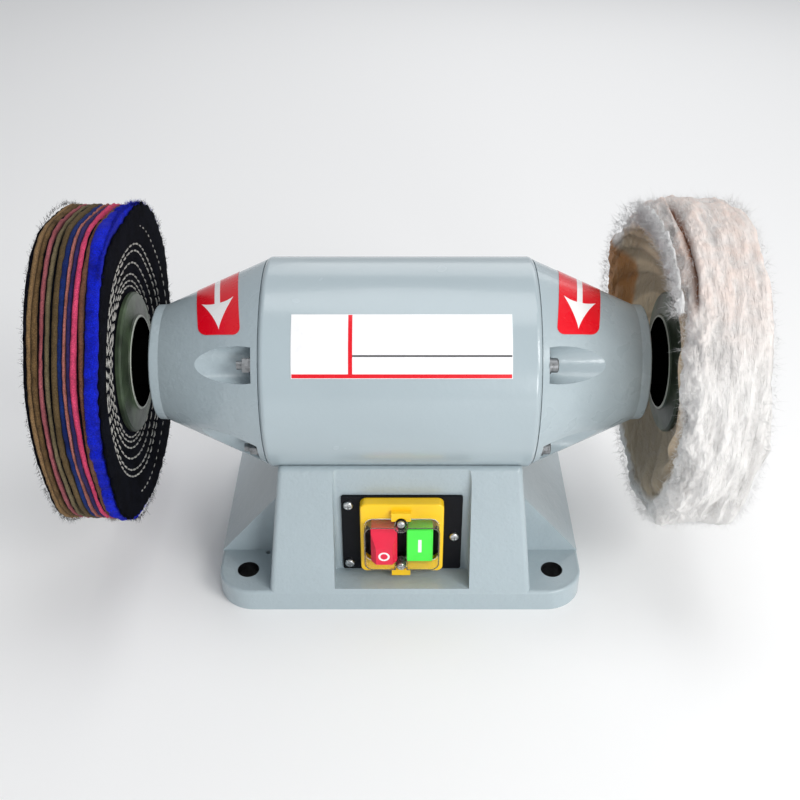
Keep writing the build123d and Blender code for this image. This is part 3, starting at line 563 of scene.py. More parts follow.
CLOTH_COLOURS = {
    "black": ((0.0035, 0.0038, 0.0065), (0.007, 0.008, 0.015)),
    "white": ((0.75, 0.73, 0.7), (0.6, 0.58, 0.56)),
    "blue": ((0.004, 0.012, 0.52), (0.004, 0.02, 0.72)),
    "brown": ((0.15, 0.062, 0.035), (0.21, 0.1, 0.06)),
    "pink": ((0.82, 0.085, 0.2), (0.62, 0.05, 0.14)),
    "purple": ((0.045, 0.03, 0.15), (0.02, 0.018, 0.09)),
    "rust": ((0.36, 0.13, 0.09), (0.5, 0.17, 0.17)),
    "navy": ((0.01, 0.035, 0.2), (0.005, 0.012, 0.09)),
    "olive_brown": ((0.15, 0.1, 0.045), (0.09, 0.06, 0.025)),
    "olive": ((0.2, 0.16, 0.09), (0.13, 0.1, 0.05)),
    "dusty_pink": ((0.42, 0.12, 0.14), (0.28, 0.07, 0.08)),
    "dark_brown": ((0.12, 0.07, 0.03), (0.2, 0.12, 0.05)),
    "tan": ((0.31, 0.19, 0.09), (0.2, 0.12, 0.05)),
}

FRAY = (
    # colour, where across the width, between which angles, how many threads, and how long in mm
    ("black", (0.955, 1.0), (0, 360), 1300, 3.0),
    ("black", (0.0, 0.03), (105, 375), 900, 3.2),
    ("blue", (0.03, 0.17), (0, 360), 2600, 1.5),
    ("blue", (0.03, 0.08), (60, 150), 1400, 2.6),
    ("tan", (0.86, 0.95), (0, 360), 420, 1.2),
    ("brown", (0.18, 0.26), (0, 360), 260, 1.2),
    ("pink", (0.29, 0.35), (0, 360), 200, 1.1),
    ("white", (0.28, 0.36), (-62, -40), 260, 2.2),
)


def stitch_radius(radius, angle):
    """Sewn rings wander: each is a little four-cornered, and more so further out."""
    loose = (radius - 45 * MM) / (30 * MM)
    corners = 1.3 * np.sin(4 * angle + 0.6) + 0.8 * np.sin(3 * angle + 40 * radius) + 0.5 * np.sin(7 * angle)
    return radius + loose * MM * corners


def quilting(radius, angle):
    """How deep the stitches pull the face in, from 0 to 1."""
    depth = np.zeros(np.broadcast(radius, angle).shape)
    for ring in STITCH_RADII:
        gap = (radius - stitch_radius(ring, angle)) / (1.3 * MM)
        depth = np.maximum(depth, np.exp(-(gap**2)))
    return depth


def ply_edge(stack, number, back, angle, rng):
    """How far out one ply reaches at each angle. The first two plies, which show most, are cut roughest."""
    big = wobble(rng, 3, 11, 6)
    fine = wobble(rng, 25, 90, 12, 0.4)
    torn, frayed = CUT_ROUGHNESS[min(number, 2)]
    edge = stack.radius - (back + 1.5) * MM + stack.outline(angle) * 1.5 * MM
    edge = edge + big(angle) * torn * MM + fine(angle) * frayed * MM
    if number == 0:
        edge = edge - FACE_STEP_BACK * between(angle, 15, 108, 30)
    return edge


def ply_mesh(stack, number, f0, f1, back, columns, face_radii):
    """One cloth disc with a rounded, uneven edge. The outermost plies are quilted by the stitches."""
    rng = random.Random(100 + number)
    width = abs(stack.rim[1] - stack.rim[0]) * (f1 - f0)
    angle = np.linspace(0, TAU, columns, endpoint=False)
    edge = ply_edge(stack, number, back, angle, rng)
    shift = wobble(rng, 3, 14, 6)(angle) * 0.1 * (f1 - f0)
    bulge = min(width * 0.55, 1.6 * MM)
    middle = (f0 + f1) / 2
    half = (f1 - f0) / 2 - PLY_GAP
    rows = []

    def add_row(f, radius, depth=0.0):
        x = stack.x(f + shift * stack.spread(radius), radius, angle)
        rows.append(on_axis(x + depth, np.broadcast_to(radius, angle.shape), angle))

    def add_face(f, radii, inwards):
        reach = (edge - bulge - stack.hub) / (stack.radius - bulge - stack.hub)
        for base in radii:
            radius = base + 0 * angle if base < stack.hub else stack.hub + (base - stack.hub) * reach
            add_row(f, radius, quilting(radius, angle) * QUILT_DEPTH * inwards if inwards else 0.0)

    first = number == 0
    last = number == len(PLIES) - 1
    add_face(middle - half, face_radii if first else face_radii[::4], stack.side if first else 0)
    for a in np.linspace(-math.pi / 2, math.pi / 2, 9):
        fray = 1 + 0.1 * wobble(rng, 40, 160, 10, 0.2)(angle)
        add_row(middle + half * math.sin(a), edge - bulge + bulge * math.cos(a) * fray)
    back_radii = face_radii if last else face_radii[::4]
    add_face(middle + half, back_radii[::-1], -stack.side if last else 0)
    points = np.concatenate(rows)
    return points, ring_faces(len(rows), columns, closed=True)


def stitch_ring(stack, f, radius, start, end, rng, outwards, points, faces):
    """Adds raised dashes of thread along one sewn ring, lying on a face of the stack."""
    steps, sides = 5, STITCH_SIDES
    angle = start
    while angle < end:
        span = STITCH_LENGTH * rng.uniform(0.75, 1.25) / radius
        base = len(points)
        for i in range(steps):
            t = i / (steps - 1)
            here = angle + span * t
            r = float(stitch_radius(radius, here))
            rise = 0.25 * MM + 0.35 * MM * math.sin(math.pi * t)
            x = float(stack.x(f, r, here)) - outwards * (0.75 * MM - rise)
            size = STITCH_HALF_WIDTH * (0.55 + 0.45 * math.sin(math.pi * min(max(t, 0.12), 0.88)))
            for k in range(sides):
                turn = TAU * k / sides
                along = np.float64(x + outwards * math.sin(turn) * size * 0.7)
                points.append(tuple(on_axis(along, r + math.cos(turn) * size, here)))
        faces += ring_faces(steps, sides, first=base)
        faces.append(tuple(range(base + sides - 1, base - 1, -1)))
        faces.append(tuple(range(base + (steps - 1) * sides, base + steps * sides)))
        angle += span + STITCH_GAP * rng.uniform(0.8, 1.3) / radius


def make_left_buff():
    """A stack of cloth discs between the flanges, sewn through in rings."""
    stack = Stack("left", 4)
    looks = {name: cloth(f"cloth_{name}", *pair) for name, pair in CLOTH_COLOURS.items()}
    total = sum(ply[1] for ply in PLIES)
    face_radii = [ARBOR_RADIUS + BORE_PLAY, stack.hub - 4 * MM]
    face_radii += list(np.linspace(stack.hub, stack.radius - 1.6 * MM, 43))
    f = 0.0
    for number, (colour, share, back) in enumerate(PLIES):
        after = f + share / total
        columns = 480 if number in (0, len(PLIES) - 1) else 360
        points, faces = ply_mesh(stack, number, f, after, back, columns, face_radii)
        name = f"left_buff_ply_{number + 1:02d}"
        piece = add_object(name, points, faces, looks[colour], "rotor")
        if number == 0:
            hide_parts("left_buff")
        f = after
    make_left_stitches(stack)
    make_left_fray(stack, looks)


def make_left_stitches(stack):
    """The sewn rings on both faces, with one loose run of stitches nearer the rim."""
    thread = cloth("stitch_thread", (0.62, 0.61, 0.57), (0.44, 0.43, 0.41), lint=0.3)
    points = []
    faces = []
    for f, outwards in ((0.0, -stack.side), (1.0, stack.side)):
        for ring in STITCH_RADII:
            start = stack.rng.uniform(0, 1)
            stitch_ring(stack, f, ring, start, start + TAU - 0.03, stack.rng, outwards, points, faces)
        stitch_ring(stack, f, STRAY_STITCH_RADIUS, 2.0, 5.2, stack.rng, outwards, points, faces)
    add_object("left_buff_stitches", points, faces, thread, "rotor")


def make_left_fray(stack, looks):
    """Cut thread ends that stand out of the plies' edges, most from the outer black and the blue."""
    for index, (colour, span, turns, count, reach) in enumerate(FRAY):
        rng = random.Random(500 + index)
        roots = []
        directions = []
        lengths = []
        for _ in range(count):
            angle = math.radians(rng.uniform(*turns))
            f = rng.uniform(*span)
            radius = stack.radius - rng.uniform(1.2, 2.6) * MM
            roots.append(on_axis(stack.x(f, radius, angle), radius, angle))
            out = on_axis(0.0, 1.0, angle) - np.array([0, 0, AXIS_Z])
            lean = np.array([rng.uniform(-0.8, 0.8), rng.uniform(-0.5, 0.5), rng.uniform(-0.5, 0.5)])
            directions.append(out + lean)
            lengths.append(rng.uniform(0.4, 1.0) * reach * MM)
        name = f"left_buff_fray_{index + 1}"
        ends = (roots, directions, lengths)
        hairs(name, *ends, THREAD_HALF_WIDTH, rng, looks[colour], "rotor", "coloured_cloth")


# ---- right buff: loose white cotton


def make_right_buff():
    """One body of loose cotton between the flanges, with a torn strip and fibres on it."""
    stack = Stack("right", 9)
    cotton = cotton_look("white_cotton")
    columns = 840
    angle = np.linspace(0, TAU, columns, endpoint=False)
    x, r, lip = cotton_profile(stack, angle)
    points, colours = puffed(x, r, lip, angle, stack)
    faces = ring_faces(x.shape[0], columns, closed=True)
    piece = add_object("right_buff_cotton", points, faces, cotton, "rotor")
    paint(piece, colours)
    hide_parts("right_buff")
    make_torn_strip(stack, cotton)
    make_right_fray(stack, cotton)


def cotton_profile(stack, angle):
    """The buff's section at every angle: x, radius, and how near each point is to the motor side's lip."""
    radius = stack.radius
    top = radius - COTTON_RIM_INSET
    inner, outer = stack.rim
    outer = outer - COTTON_OUTER_INSET
    width = outer - inner
    neck = radius * 0.84
    rows = []
    for face_r in (ARBOR_RADIUS + BORE_PLAY, stack.hub - 3 * MM, *np.linspace(stack.hub, neck, 46)):
        near = 0.9 * float(smoothstep((face_r - 0.72 * radius) / (neck - 0.72 * radius)))
        rows.append((stack.x(0.0, face_r, angle), face_r, near))
    for turn in np.linspace(0.12, 1.0, 22):
        bend = turn * math.pi / 2
        lip_r = neck + (top - neck) * math.sin(bend)
        lip_x = inner + 9 * MM * (1 - math.cos(bend)) + 0 * angle
        rows.append((lip_x, lip_r, 1.0 - 0.3 * turn))
    for t in np.linspace(0.17, 0.847, 90)[1:-1]:
        near = 0.7 * float(1 - smoothstep((t - 0.17) / 0.3))
        rows.append((inner + width * t + 0 * angle, top, near))
    for turn in np.linspace(1.0, 0.12, 22):
        bend = turn * math.pi / 2
        lip_r = neck + (top - neck) * math.sin(bend)
        rows.append((outer - 8 * MM * (1 - math.cos(bend)) + 0 * angle, lip_r, 0.0))
    for face_r in (*np.linspace(neck, stack.hub, 40), stack.hub - 3 * MM, ARBOR_RADIUS + BORE_PLAY):
        rows.append((stack.x(1.0, face_r, angle), face_r, 0.0))
    x = np.array([row[0] for row in rows])
    r = np.array([row[1] + 0 * angle for row in rows])
    lip = np.array([row[2] + 0 * angle for row in rows])
    return x, r, lip


def lip_lean(angle):
    """The lip by the motor stands back at the front and leans in towards the motor at the upper rear."""
    return LIP_SET_BACK - LIP_REACH * (0.5 + 0.5 * np.cos(angle - math.radians(160))) ** 3


def puffed(x, r, lip, angle, stack):
    """Pushes the cotton's surface about, and gives each point its colour."""
    ragged = wobble(random.Random(31), 4, 12, 7)(angle)
    ragged = ragged + 0.35 * wobble(random.Random(32), 14, 60, 12, 0.4)(angle)
    x = x + lip * (ragged * 1.7 * MM + lip_lean(angle))
    r = r + lip**3 * wobble(random.Random(33), 5, 16, 6)(angle) * 2.0 * MM
    base = on_axis(x, r, np.broadcast_to(angle, x.shape))
    along = np.gradient(base, axis=0)
    round_it = np.roll(base, -1, axis=1) - np.roll(base, 1, axis=1)
    normal = np.cross(round_it, along)
    normal /= np.maximum(np.linalg.norm(normal, axis=-1, keepdims=True), 1e-12)
    middle = x.shape[0] // 2
    if np.dot(normal[middle, 0], base[middle, 0] - np.array([base[middle, 0, 0], 0, AXIS_Z])) < 0:
        normal = -normal
    free = stack.spread(r)
    inner, outer = stack.rim
    face = (1 - smoothstep((r - 0.8 * stack.radius) / (0.08 * stack.radius))) * (x < (inner + outer) / 2)
    lift = np.zeros(x.shape)
    tone = np.zeros(x.shape)
    for i in range(x.shape[0]):
        for j in range(x.shape[1]):
            c, s = math.cos(angle[j]), math.sin(angle[j])
            q = r[i, j]
            turn = 22 * (stack.radius - q) * face[i, j]
            fc, fs = math.cos(angle[j] + turn), math.sin(angle[j] + turn)
            wander = noise.noise(Vector((c * 2.6, s * 2.6, x[i, j] * 20))) * 0.9
            plies = noise.noise(Vector((x[i, j] * 170 + wander, c * 2.4 + 7, s * 2.4)))
            lumps = noise.noise(Vector((x[i, j] * 48, c * q * 42, s * q * 42)))
            folds = noise.noise(Vector((x[i, j] * 110, c * q * 34 + 3, s * q * 34)))
            tufts = noise.noise(Vector((x[i, j] * 210, c * q * 130, s * q * 130)))
            fluff = noise.noise(Vector((x[i, j] * 520, c * q * 300, s * q * 300)))
            swirl = noise.noise(Vector((q * 26, fc * 3.2 + 11, fs * 3.2)))
            rim = 2.4 * plies + 2.4 * lumps - 2.6 * abs(folds) + 0.9 * tufts + 0.45 * fluff + 0.6
            disc = 7.0 * abs(swirl) - 1.6 + 1.2 * folds + 0.3 * fluff
            edge = lip[i, j] ** 2 * (1.6 * tufts + 0.9 * fluff - 1.5 * abs(folds))
            lift[i, j] = rim + (disc - rim) * face[i, j] + edge
            tone[i, j] = plies + tufts
    t = (x - inner) / (outer - inner)
    gash = np.exp(-(((t - 0.16) / 0.035) ** 2)) * (r > 0.88 * stack.radius)
    tear = between(angle, 46, 112, 12)[None, :] * gash
    lift = lift - 6.5 * tear
    points = base + normal * (lift * free * MM)[..., None]
    return points.reshape(-1, 3), cotton_colours(r, lift, tone, face, tear, angle, stack).reshape(-1, 3)


def cotton_colours(r, lift, tone, face, tear, angle, stack):
    """White round the rim with a pink cast towards the top and beige by the motor, with painted shade in the
    folds, on the lower half of the face by the motor, in a fold towards the rear and in the torn gash.
    """

    def blend(a, colour, share):
        return a + (np.array(colour) - a) * share[..., None]

    height = np.sin(angle)[None, :] + 0 * r
    colour = np.zeros(r.shape + (3,)) + np.array((0.8, 0.785, 0.77))
    pink = smoothstep((height - 0.35) / 0.65) * (0.45 + 0.35 * np.clip(tone, -1, 1))
    colour = blend(colour, (0.84, 0.66, 0.58), pink)
    # Painted shade: the rim turns grey where its surface sinks into folds.
    colour = blend(colour, (0.5, 0.485, 0.475), 0.6 * smoothstep((-lift - 0.2) / 2.6) * (1 - face))
    beige = 0 * colour + np.array((0.68, 0.53, 0.36))
    # Painted shade: the face by the motor goes brown in its folds.
    beige = blend(beige, (0.33, 0.25, 0.17), smoothstep((1.4 - lift) / 2.4) * 0.7)
    # Painted shadow: the lower half of the face by the motor is darker, for the motor's shadow there.
    beige = blend(beige, (0.27, 0.225, 0.165), smoothstep(-height * 1.6) * 0.7)
    colour = colour + (beige - colour) * face[..., None]
    # Painted shade: warm orange inside a fold of the face by the motor, towards the rear.
    fold_shade = between(angle, 148, 192, 6)[None, :] * smoothstep((r / stack.radius - 0.68) / 0.04)
    fold_shade = fold_shade * (1 - smoothstep((r / stack.radius - 0.94) / 0.04))
    # The first 70 rows of the profile are the face by the motor and its lip.
    near_motor = np.arange(r.shape[0])[:, None] < 70
    colour = blend(colour, (0.48, 0.2, 0.055), fold_shade * near_motor * 0.9)
    # Painted shade: dark brown in the torn gash between the plies, for its depth.
    return blend(colour, (0.26, 0.085, 0.02), np.clip(tear * 1.4, 0, 1))


def paint(piece, colours):
    """Stores one colour for each point of a piece's mesh."""
    layer = piece.data.color_attributes.new("tint", "FLOAT_COLOR", "POINT")
    values = np.ones((len(colours), 4), np.float32)
    values[:, :3] = colours
    layer.data.foreach_set("color", values.ravel())


def cotton_look(name):
    """Loose cotton: the painted tint with darker streaks and fine fibres round the shaft."""
    gloss = {"Sheen_Weight": 0.12, "Sheen_Roughness": 0.6, "Specular_IOR_Level": 0.15}
    look = Look(name, (0.83, 0.81, 0.79), 0.95, **gloss)
    tint = look.add("ShaderNodeAttribute", attribute_name="tint").outputs["Color"]
    streaks = look.noise(1.0, 4.0, 0.6, look.stretched((420.0, 70.0, 70.0)))
    fibres = look.noise(1.0, 3.0, 0.7, look.stretched((1500.0, 380.0, 380.0)))
    dark = look.math("MULTIPLY", look.ramp(streaks, 0.5, 0.72), 0.22)
    look.colour(look.mix(dark, tint, (0.42, 0.38, 0.35)))
    look.bump(streaks, 1.8 * MM)
    look.bump(fibres, 0.9 * MM)
    return look.material


def make_torn_strip(stack, cotton):
    """A strip torn loose along the upper front of the lip, standing out towards the motor."""
    rng = random.Random(55)
    steps = 420
    across = 11
    angle = np.radians(np.linspace(*TORN_STRIP_SPAN, steps))
    taper = np.sin(np.linspace(0.06, 0.97, steps) * math.pi) ** 0.6
    low = 0.86 * stack.radius + wobble(rng, 20, 160, 16, 0.3)(angle) * 2.4 * MM
    high = 0.95 * stack.radius + wobble(rng, 14, 90, 12, 0.4)(angle) * 1.2 * MM
    curl = wobble(rng, 12, 110, 12, 0.3)(angle)
    crumple = wobble(rng, 30, 170, 12, 0.2)(angle)
    lip_x = stack.rim[0] + 0.95 * lip_lean(angle)
    layers = []
    for depth in (0.0, 0.9):
        for k in range(across):
            t = k / (across - 1)
            radius = high + (low - high) * (t * taper)
            ripple = 1.5 * t * curl + 0.7 * math.sin(9 * t) * crumple
            stand = lip_x - (1.6 + 2.4 * math.sin(t * 2.2) - depth + ripple) * MM
            layers.append(on_axis(stand, radius, angle))
    order = layers[:across] + layers[across:][::-1]
    points = np.stack(order).reshape(-1, 3)
    faces = []
    rows = 2 * across
    for i in range(rows):
        a, b = i * steps, ((i + 1) % rows) * steps
        faces += [(a + j, a + j + 1, b + j + 1, b + j) for j in range(steps - 1)]
    faces.append(tuple(i * steps for i in range(rows)))
    faces.append(tuple(i * steps + steps - 1 for i in reversed(range(rows))))
    strip = add_object("right_buff_torn_strip", points, faces, cotton, "rotor")
    paint(strip, np.full((len(points), 3), 0.86))


def make_right_fray(stack, cotton):
    """Loose fibres: all over the rim, thicker along both its edges and the torn strip."""
    rng = random.Random(77)
    roots = []
    directions = []
    lengths = []
    zones = (
        # how many, across the width, between which angles, mm in from the rim, lean along the shaft
        (7000, (0.08, 0.97), (0, 360), (1.5, 3.5), 0.0),
        (4500, (-0.03, 0.06), (0, 360), (3.0, 14.0), -0.5),
        (1500, (0.95, 1.0), (0, 360), (3.0, 9.0), 0.6),
        (4200, (-0.1, -0.03), TORN_STRIP_SPAN, (5.0, 17.5), -0.3),
    )
    for count, span, turns, depth, lean in zones:
        for _ in range(count):
            angle = math.radians(rng.uniform(*turns))
            share = rng.uniform(*span)
            x = stack.rim[0] + share * (stack.rim[1] - COTTON_OUTER_INSET - stack.rim[0])
            x += float(lip_lean(angle)) * max(0.0, min(1.0, 1 - 2 * share))
            radius = stack.radius - rng.uniform(*depth) * MM
            roots.append(on_axis(np.float64(x), radius, angle))
            out = on_axis(0.0, 1.0, angle) - np.array([0, 0, AXIS_Z])
            bend = np.array([rng.uniform(-0.8, 0.8) + lean, rng.uniform(-0.9, 0.9), rng.uniform(-0.9, 0.9)])
            directions.append(out * rng.uniform(0.2, 1.0) + bend)
            lengths.append(rng.uniform(1.5, 5.0) * MM)
    ends = (roots, directions, lengths)
    fray = hairs("right_buff_fray", *ends, FIBRE_HALF_WIDTH, rng, cotton, "rotor", "white_cotton", 0.8)
    paint(fray, np.full((len(fray.data.vertices), 3), 0.84))


# ---- labels


def wrapped(name, across, low, high, radius_at, heights, material, slot_name, steps, lean=None):
    """A thin closed patch wrapped on a turned surface of the housing.

    across holds places along the shaft. At each, low and high give the lower and upper edge's elevation in
    degrees. radius_at gives the surface's radius, and heights how far the patch's two sides are off it.
    lean gives how far the patch shifts along the shaft at an elevation in radians."""
    points = []
    for lift in heights:
        for x in across:
            bottom, top = low(x), high(x)
            for j in range(steps + 1):
                turn = math.radians(bottom + (top - bottom) * j / steps)
                here = x + (lean(turn) if lean else 0.0)
                points.append(on_axis(np.float64(here), radius_at(here) + lift, turn))
    rows = len(across)
    layer = rows * (steps + 1)
    faces = []

    def at(i, j, upper):
        return upper * layer + i * (steps + 1) + j

    for i in range(rows - 1):
        for j in range(steps):
            faces.append((at(i, j, 1), at(i + 1, j, 1), at(i + 1, j + 1, 1), at(i, j + 1, 1)))
            faces.append((at(i, j, 0), at(i, j + 1, 0), at(i + 1, j + 1, 0), at(i + 1, j, 0)))
        for j, flip in ((0, False), (steps, True)):
            side = (at(i, j, 0), at(i + 1, j, 0), at(i + 1, j, 1), at(i, j, 1))
            faces.append(side[::-1] if flip else side)
    for i, flip in ((0, True), (rows - 1, False)):
        for j in range(steps):
            side = (at(i, j, 0), at(i, j + 1, 0), at(i, j + 1, 1), at(i, j, 1))
            faces.append(side[::-1] if flip else side)
    return add_object(name, points, faces, material, "housing", smooth=False)


def merge(name, pieces):
    """Joins pieces that are printed together into the first one."""
    bpy.ops.object.select_all(action="DESELECT")
    for piece in pieces:
        piece.select_set(True)
    bpy.context.view_layer.objects.active = pieces[0]
    bpy.ops.object.join()
    pieces[0].name = name
    pieces[0].select_set(False)


def cone_radius(side):
    """The end bell's radius as a function of x, from its label's CAD box: the label lies on the cone."""
    low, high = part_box(f"{side}_arrow_label")
    near, far = sorted((abs(low.x), abs(high.x)))
    top = high.z - AXIS_Z

    def radius(x):
        return top - LABEL_THICKNESS - CONE_SLOPE * (abs(x) - near)

    return near, far, radius


def make_arrow_label(side, red, white):
    """A red sticker wrapped round the cone, with a white arrow on it."""
    near, far, radius = cone_radius(side)
    sign = -1 if side == "left" else 1
    if side == "right":
        near, far = near - RIGHT_STICKER_SHIFT, far - RIGHT_STICKER_SHIFT
    lowest, highest = STICKER_SPAN

    def tilt(x):
        """Degrees that the sticker's small end is turned up by, so that its lower edge lies level."""
        return STICKER_TILT * ((abs(x) - near) / (far - near) - 0.5)

    def low_edge(x):
        """The lower edge, with a rounded corner at each end."""
        inset = max(0.0, STICKER_CORNER - min(abs(x) - near, far - abs(x)))
        rise = STICKER_CORNER - math.sqrt(max(0.0, STICKER_CORNER**2 - inset**2))
        return lowest + tilt(x) + math.degrees(rise / radius(x))

    ends = sorted((sign * near, sign * far))
    across = ends[0] + (ends[1] - ends[0]) * (1 - np.cos(np.linspace(0, math.pi, 41))) / 2

    def lean(turn):
        """The sticker was laid on slightly askew: it runs towards the small end as it goes over the top."""
        return sign * STICKER_ASKEW * float(np.clip((math.degrees(turn) - 54) / 46, -0.1, 1.25))

    sticker = wrapped(
        f"{side}_arrow_sticker", across, low_edge, lambda x: highest, radius, STICKER_HEIGHTS,
        red, "red_label", 90, lean,
    )
    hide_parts(f"{side}_arrow_label")
    make_arrow(side, sign * (near + far) / 2, highest, radius, white, lean, tilt)


def make_arrow(side, middle, highest, radius, white, lean, tilt):
    """A plain arrow down the sticker: a shaft and a head with swept-back wings."""

    def side_edge(offset):
        """The elevation of the head's concave side at a distance from its middle line."""
        return ARROW_TIP + (ARROW_WINGS - ARROW_TIP) * (offset / ARROW_HEAD_HALF) ** 0.8

    def back_edge(offset):
        share = max(0.0, offset - ARROW_SHAFT_HALF) / (ARROW_HEAD_HALF - ARROW_SHAFT_HALF)
        return max(side_edge(offset), ARROW_NOTCH + (ARROW_WINGS - ARROW_NOTCH) * share**2)

    def head_low(x):
        return tilt(x) + side_edge(abs(x - middle))

    def head_high(x):
        return tilt(x) + back_edge(abs(x - middle))

    head_x = np.linspace(-1, 1, 61) * ARROW_HEAD_HALF + middle
    head = wrapped("head", head_x, head_low, head_high, radius, ARROW_INK, white, "white_label", 12, lean)
    stem_x = np.linspace(-1, 1, 5) * ARROW_SHAFT_HALF + middle
    stem_ink = (ARROW_INK[0], ARROW_INK[1] - 0.01 * MM)
    stem = wrapped(
        "stem", stem_x, lambda x: ARROW_NOTCH - 1.0, lambda x: highest, radius, stem_ink,
        white, "white_label", 40, lean,
    )
    merge(f"{side}_arrow", [head, stem])


def make_rating_rules(dark, red):
    """Plain rules on the rating plate, with no lettering."""
    low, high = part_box("rating_label")
    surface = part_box("motor_barrel")[1].z - AXIS_Z

    def rule(name, x0, x1, e0, e1, material):
        ends = (lambda x: e0, lambda x: e1, lambda x: surface)
        return wrapped(name, (x0, x1), *ends, PLATE_INK, material, "white_label", 24)

    x0, x1 = low.x + PLATE_INSET, high.x - PLATE_INSET
    column = low.x + PLATE_COLUMN
    e0, e1 = PLATE_SPAN[0] + PLATE_MARGIN, PLATE_SPAN[1] - PLATE_MARGIN
    bar_top = e0 + math.degrees(PLATE_BAR / surface)
    across = rule("a", x0, x1, e0, bar_top, red)
    upright = rule("b", column - PLATE_COLUMN_HALF, column + PLATE_COLUMN_HALF, bar_top, e1, red)
    merge("rating_label_bars", [across, upright])
    line = e0 + PLATE_LINE_RISE
    line_top = line + math.degrees(PLATE_LINE / surface)
    rule("rating_label_line", column + PLATE_COLUMN_HALF, x1, line, line_top, dark)


def make_off_ring(white):
    """The standard circle for off, printed on the stop button's face."""
    low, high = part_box("stop_button")
    middle = (low.x + high.x) / 2
    centre = low.z + OFF_RING_RISE
    around = 48
    points = []
    for y, radii in ((low.y - MARK_HALF_DEPTH, OFF_RING), (low.y + MARK_HALF_DEPTH, OFF_RING[::-1])):
        for radius in radii:
            for k in range(around):
                turn = TAU * k / around
                points.append((middle + radius * math.cos(turn), y, centre + radius * math.sin(turn)))
    faces = ring_faces(4, around, closed=True)
    add_object("stop_mark", points, faces, white, "stop", smooth=False)


def make_on_bar(white):
    """The standard bar for on, printed on the start button's face."""
    low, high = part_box("start_button")
    middle, centre = (low.x + high.x) / 2, (low.z + high.z) / 2
    half, tall = ON_BAR_HALF
    corners = [
        (middle + i * half, low.y + j * MARK_HALF_DEPTH, centre + k * tall)
        for i in (-1, 1) for j in (-1, 1) for k in (-1, 1)
    ]
    sides = [(0, 1, 3, 2), (4, 6, 7, 5), (0, 4, 5, 1), (2, 3, 7, 6), (0, 2, 6, 4), (1, 5, 7, 3)]
    add_object("start_mark", corners, sides, white, "start", smooth=False)


def make_printing():
    """Everything that is printed or stuck on."""
    red = film("red_film_sticker", (0.78, 0.0, 0.012))
    white = film("white_ink", (0.92, 0.92, 0.92))
    dark = film("dark_ink", (0.05, 0.05, 0.055))
    for side in ("left", "right"):
        make_arrow_label(side, red, white)
    make_rating_rules(dark, red)
    make_off_ring(white)
    make_on_bar(white)


# ---- springs behind the buttons


def make_return_spring(button, steel):
    """A coil of wire behind its button."""
    low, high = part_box(f"{button}_spring")
    turns, steps, sides = 4, 120, 10
    coil = (high.x - low.x) / 2 - SPRING_WIRE
    reach = high.y - low.y - 2 * SPRING_WIRE
    middle, centre = (low.x + high.x) / 2, (low.z + high.z) / 2
    points = []
    for i in range(steps + 1):
        turn = TAU * turns * i / steps
        y = high.y - SPRING_WIRE - reach * i / steps
        for k in range(sides):
            around = TAU * k / sides
            out = coil + SPRING_WIRE * math.cos(around)
            up = SPRING_WIRE * math.sin(around)
            points.append((middle + out * math.cos(turn), y + up, centre + out * math.sin(turn)))
    faces = ring_faces(steps + 1, sides)
    faces.append(tuple(range(sides))[::-1])
    faces.append(tuple(steps * sides + k for k in range(sides)))
    spring = add_object(f"{button}_return_coil", points, faces, steel, "housing")
    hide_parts(f"{button}_spring")
    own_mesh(spring)


# ---- finishes of the CAD parts


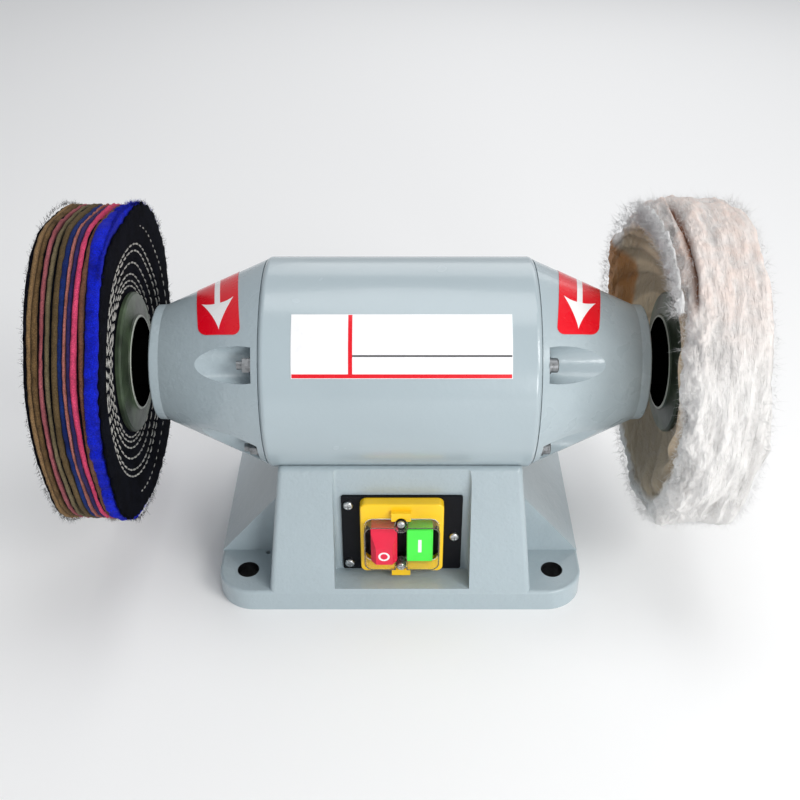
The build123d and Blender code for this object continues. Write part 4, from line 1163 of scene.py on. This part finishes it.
def dress_cad():
    """Every CAD node that still shows gets its finish."""
    flange = ((0.022, 0.032, 0.02), 0.34, 0.12, (0.075, 0.11, 0.062))
    # The base casting's enamel, with painted shade inside its bench holes.
    shaded_holes = enamel("drilled_enamel", (0.38, 0.455, 0.49), 0.65, shaded_holes=True)
    outer = turned_steel("outer_flange", *flange)
    dull = plated_steel("dull_fasteners", (0.27, 0.28, 0.29), 0.42)
    spring = plated_steel("spring_steel", (0.4, 0.4, 0.42), 0.3)
    looks = {
        "painted_casting": enamel("casting_enamel", (0.385, 0.46, 0.495), 0.3),
        "barrel_paint": enamel("barrel_enamel", (0.39, 0.465, 0.5), 0.0),
        "galvanised": plated_steel("galvanised_sheet", (0.5, 0.51, 0.52), 0.42),
        "bright_steel": plated_steel("zinc_fasteners"),
        "ground_steel": turned_steel("ground_steel", (0.5, 0.5, 0.51), 0.28, 1.0, (0.36, 0.35, 0.34)),
        # The inner flanges' hubs get painted shade inside 28.2 mm.
        "black_steel": turned_steel("dark_flange", *flange, dark_radius=28.2 * MM),
        "lamination": laminations("laminations"),
        "copper": copper("copper_wire"),
        "cast_aluminium": plated_steel("cast_aluminium", (0.6, 0.61, 0.62), 0.5),
        "bearing_steel": plated_steel("bearing_steel", (0.6, 0.6, 0.62), 0.15),
        "white_label": film("white_film", (0.9, 0.9, 0.91)),
        "red_label": film("red_film", (0.78, 0.0, 0.012)),
        "black_plastic": moulded("black_plastic", (0.006, 0.0065, 0.009), 0.45, Specular_IOR_Level=0.12),
        "yellow_plastic": moulded("yellow_plastic", (1.0, 0.62, 0.015), 0.32),
        "clear_plastic": clear_plastic("clear_plastic"),
        "red_plastic": moulded("red_plastic", (0.8, 0.01, 0.055), 0.3),
        "green_plastic": moulded("green_plastic", (0.07, 0.95, 0.07), 0.35),
        "spring_steel": spring,
        "capacitor_can": moulded("capacitor_can", (0.6, 0.6, 0.57), 0.45),
        "terminal_plastic": moulded("terminal_plastic", (0.7, 0.68, 0.62), 0.5),
        "rubber": moulded("rubber", (0.02, 0.02, 0.02), 0.7, 0.0001),
        "coloured_cloth": cloth("hidden_cloth", *CLOTH_COLOURS["black"]),
        "white_cotton": cloth("hidden_cotton", *CLOTH_COLOURS["white"]),
    }
    slots = {part["node"]: part["material_slot"] for part in frame["record"]["subparts"]}
    for node, piece in frame["nodes"].items():
        look = looks[slots[node]]
        if node.startswith("tie_"):
            look = dull
        elif node.endswith("outer_flange"):
            look = outer
        elif node == "base_casting":
            look = shaded_holes
        piece.data.materials.clear()
        piece.data.materials.append(look)
    for button in ("stop", "start"):
        make_return_spring(button, spring)


make_camera()
make_lights()
make_floor()
dress_cad()
make_printing()
make_left_buff()
make_right_buff()
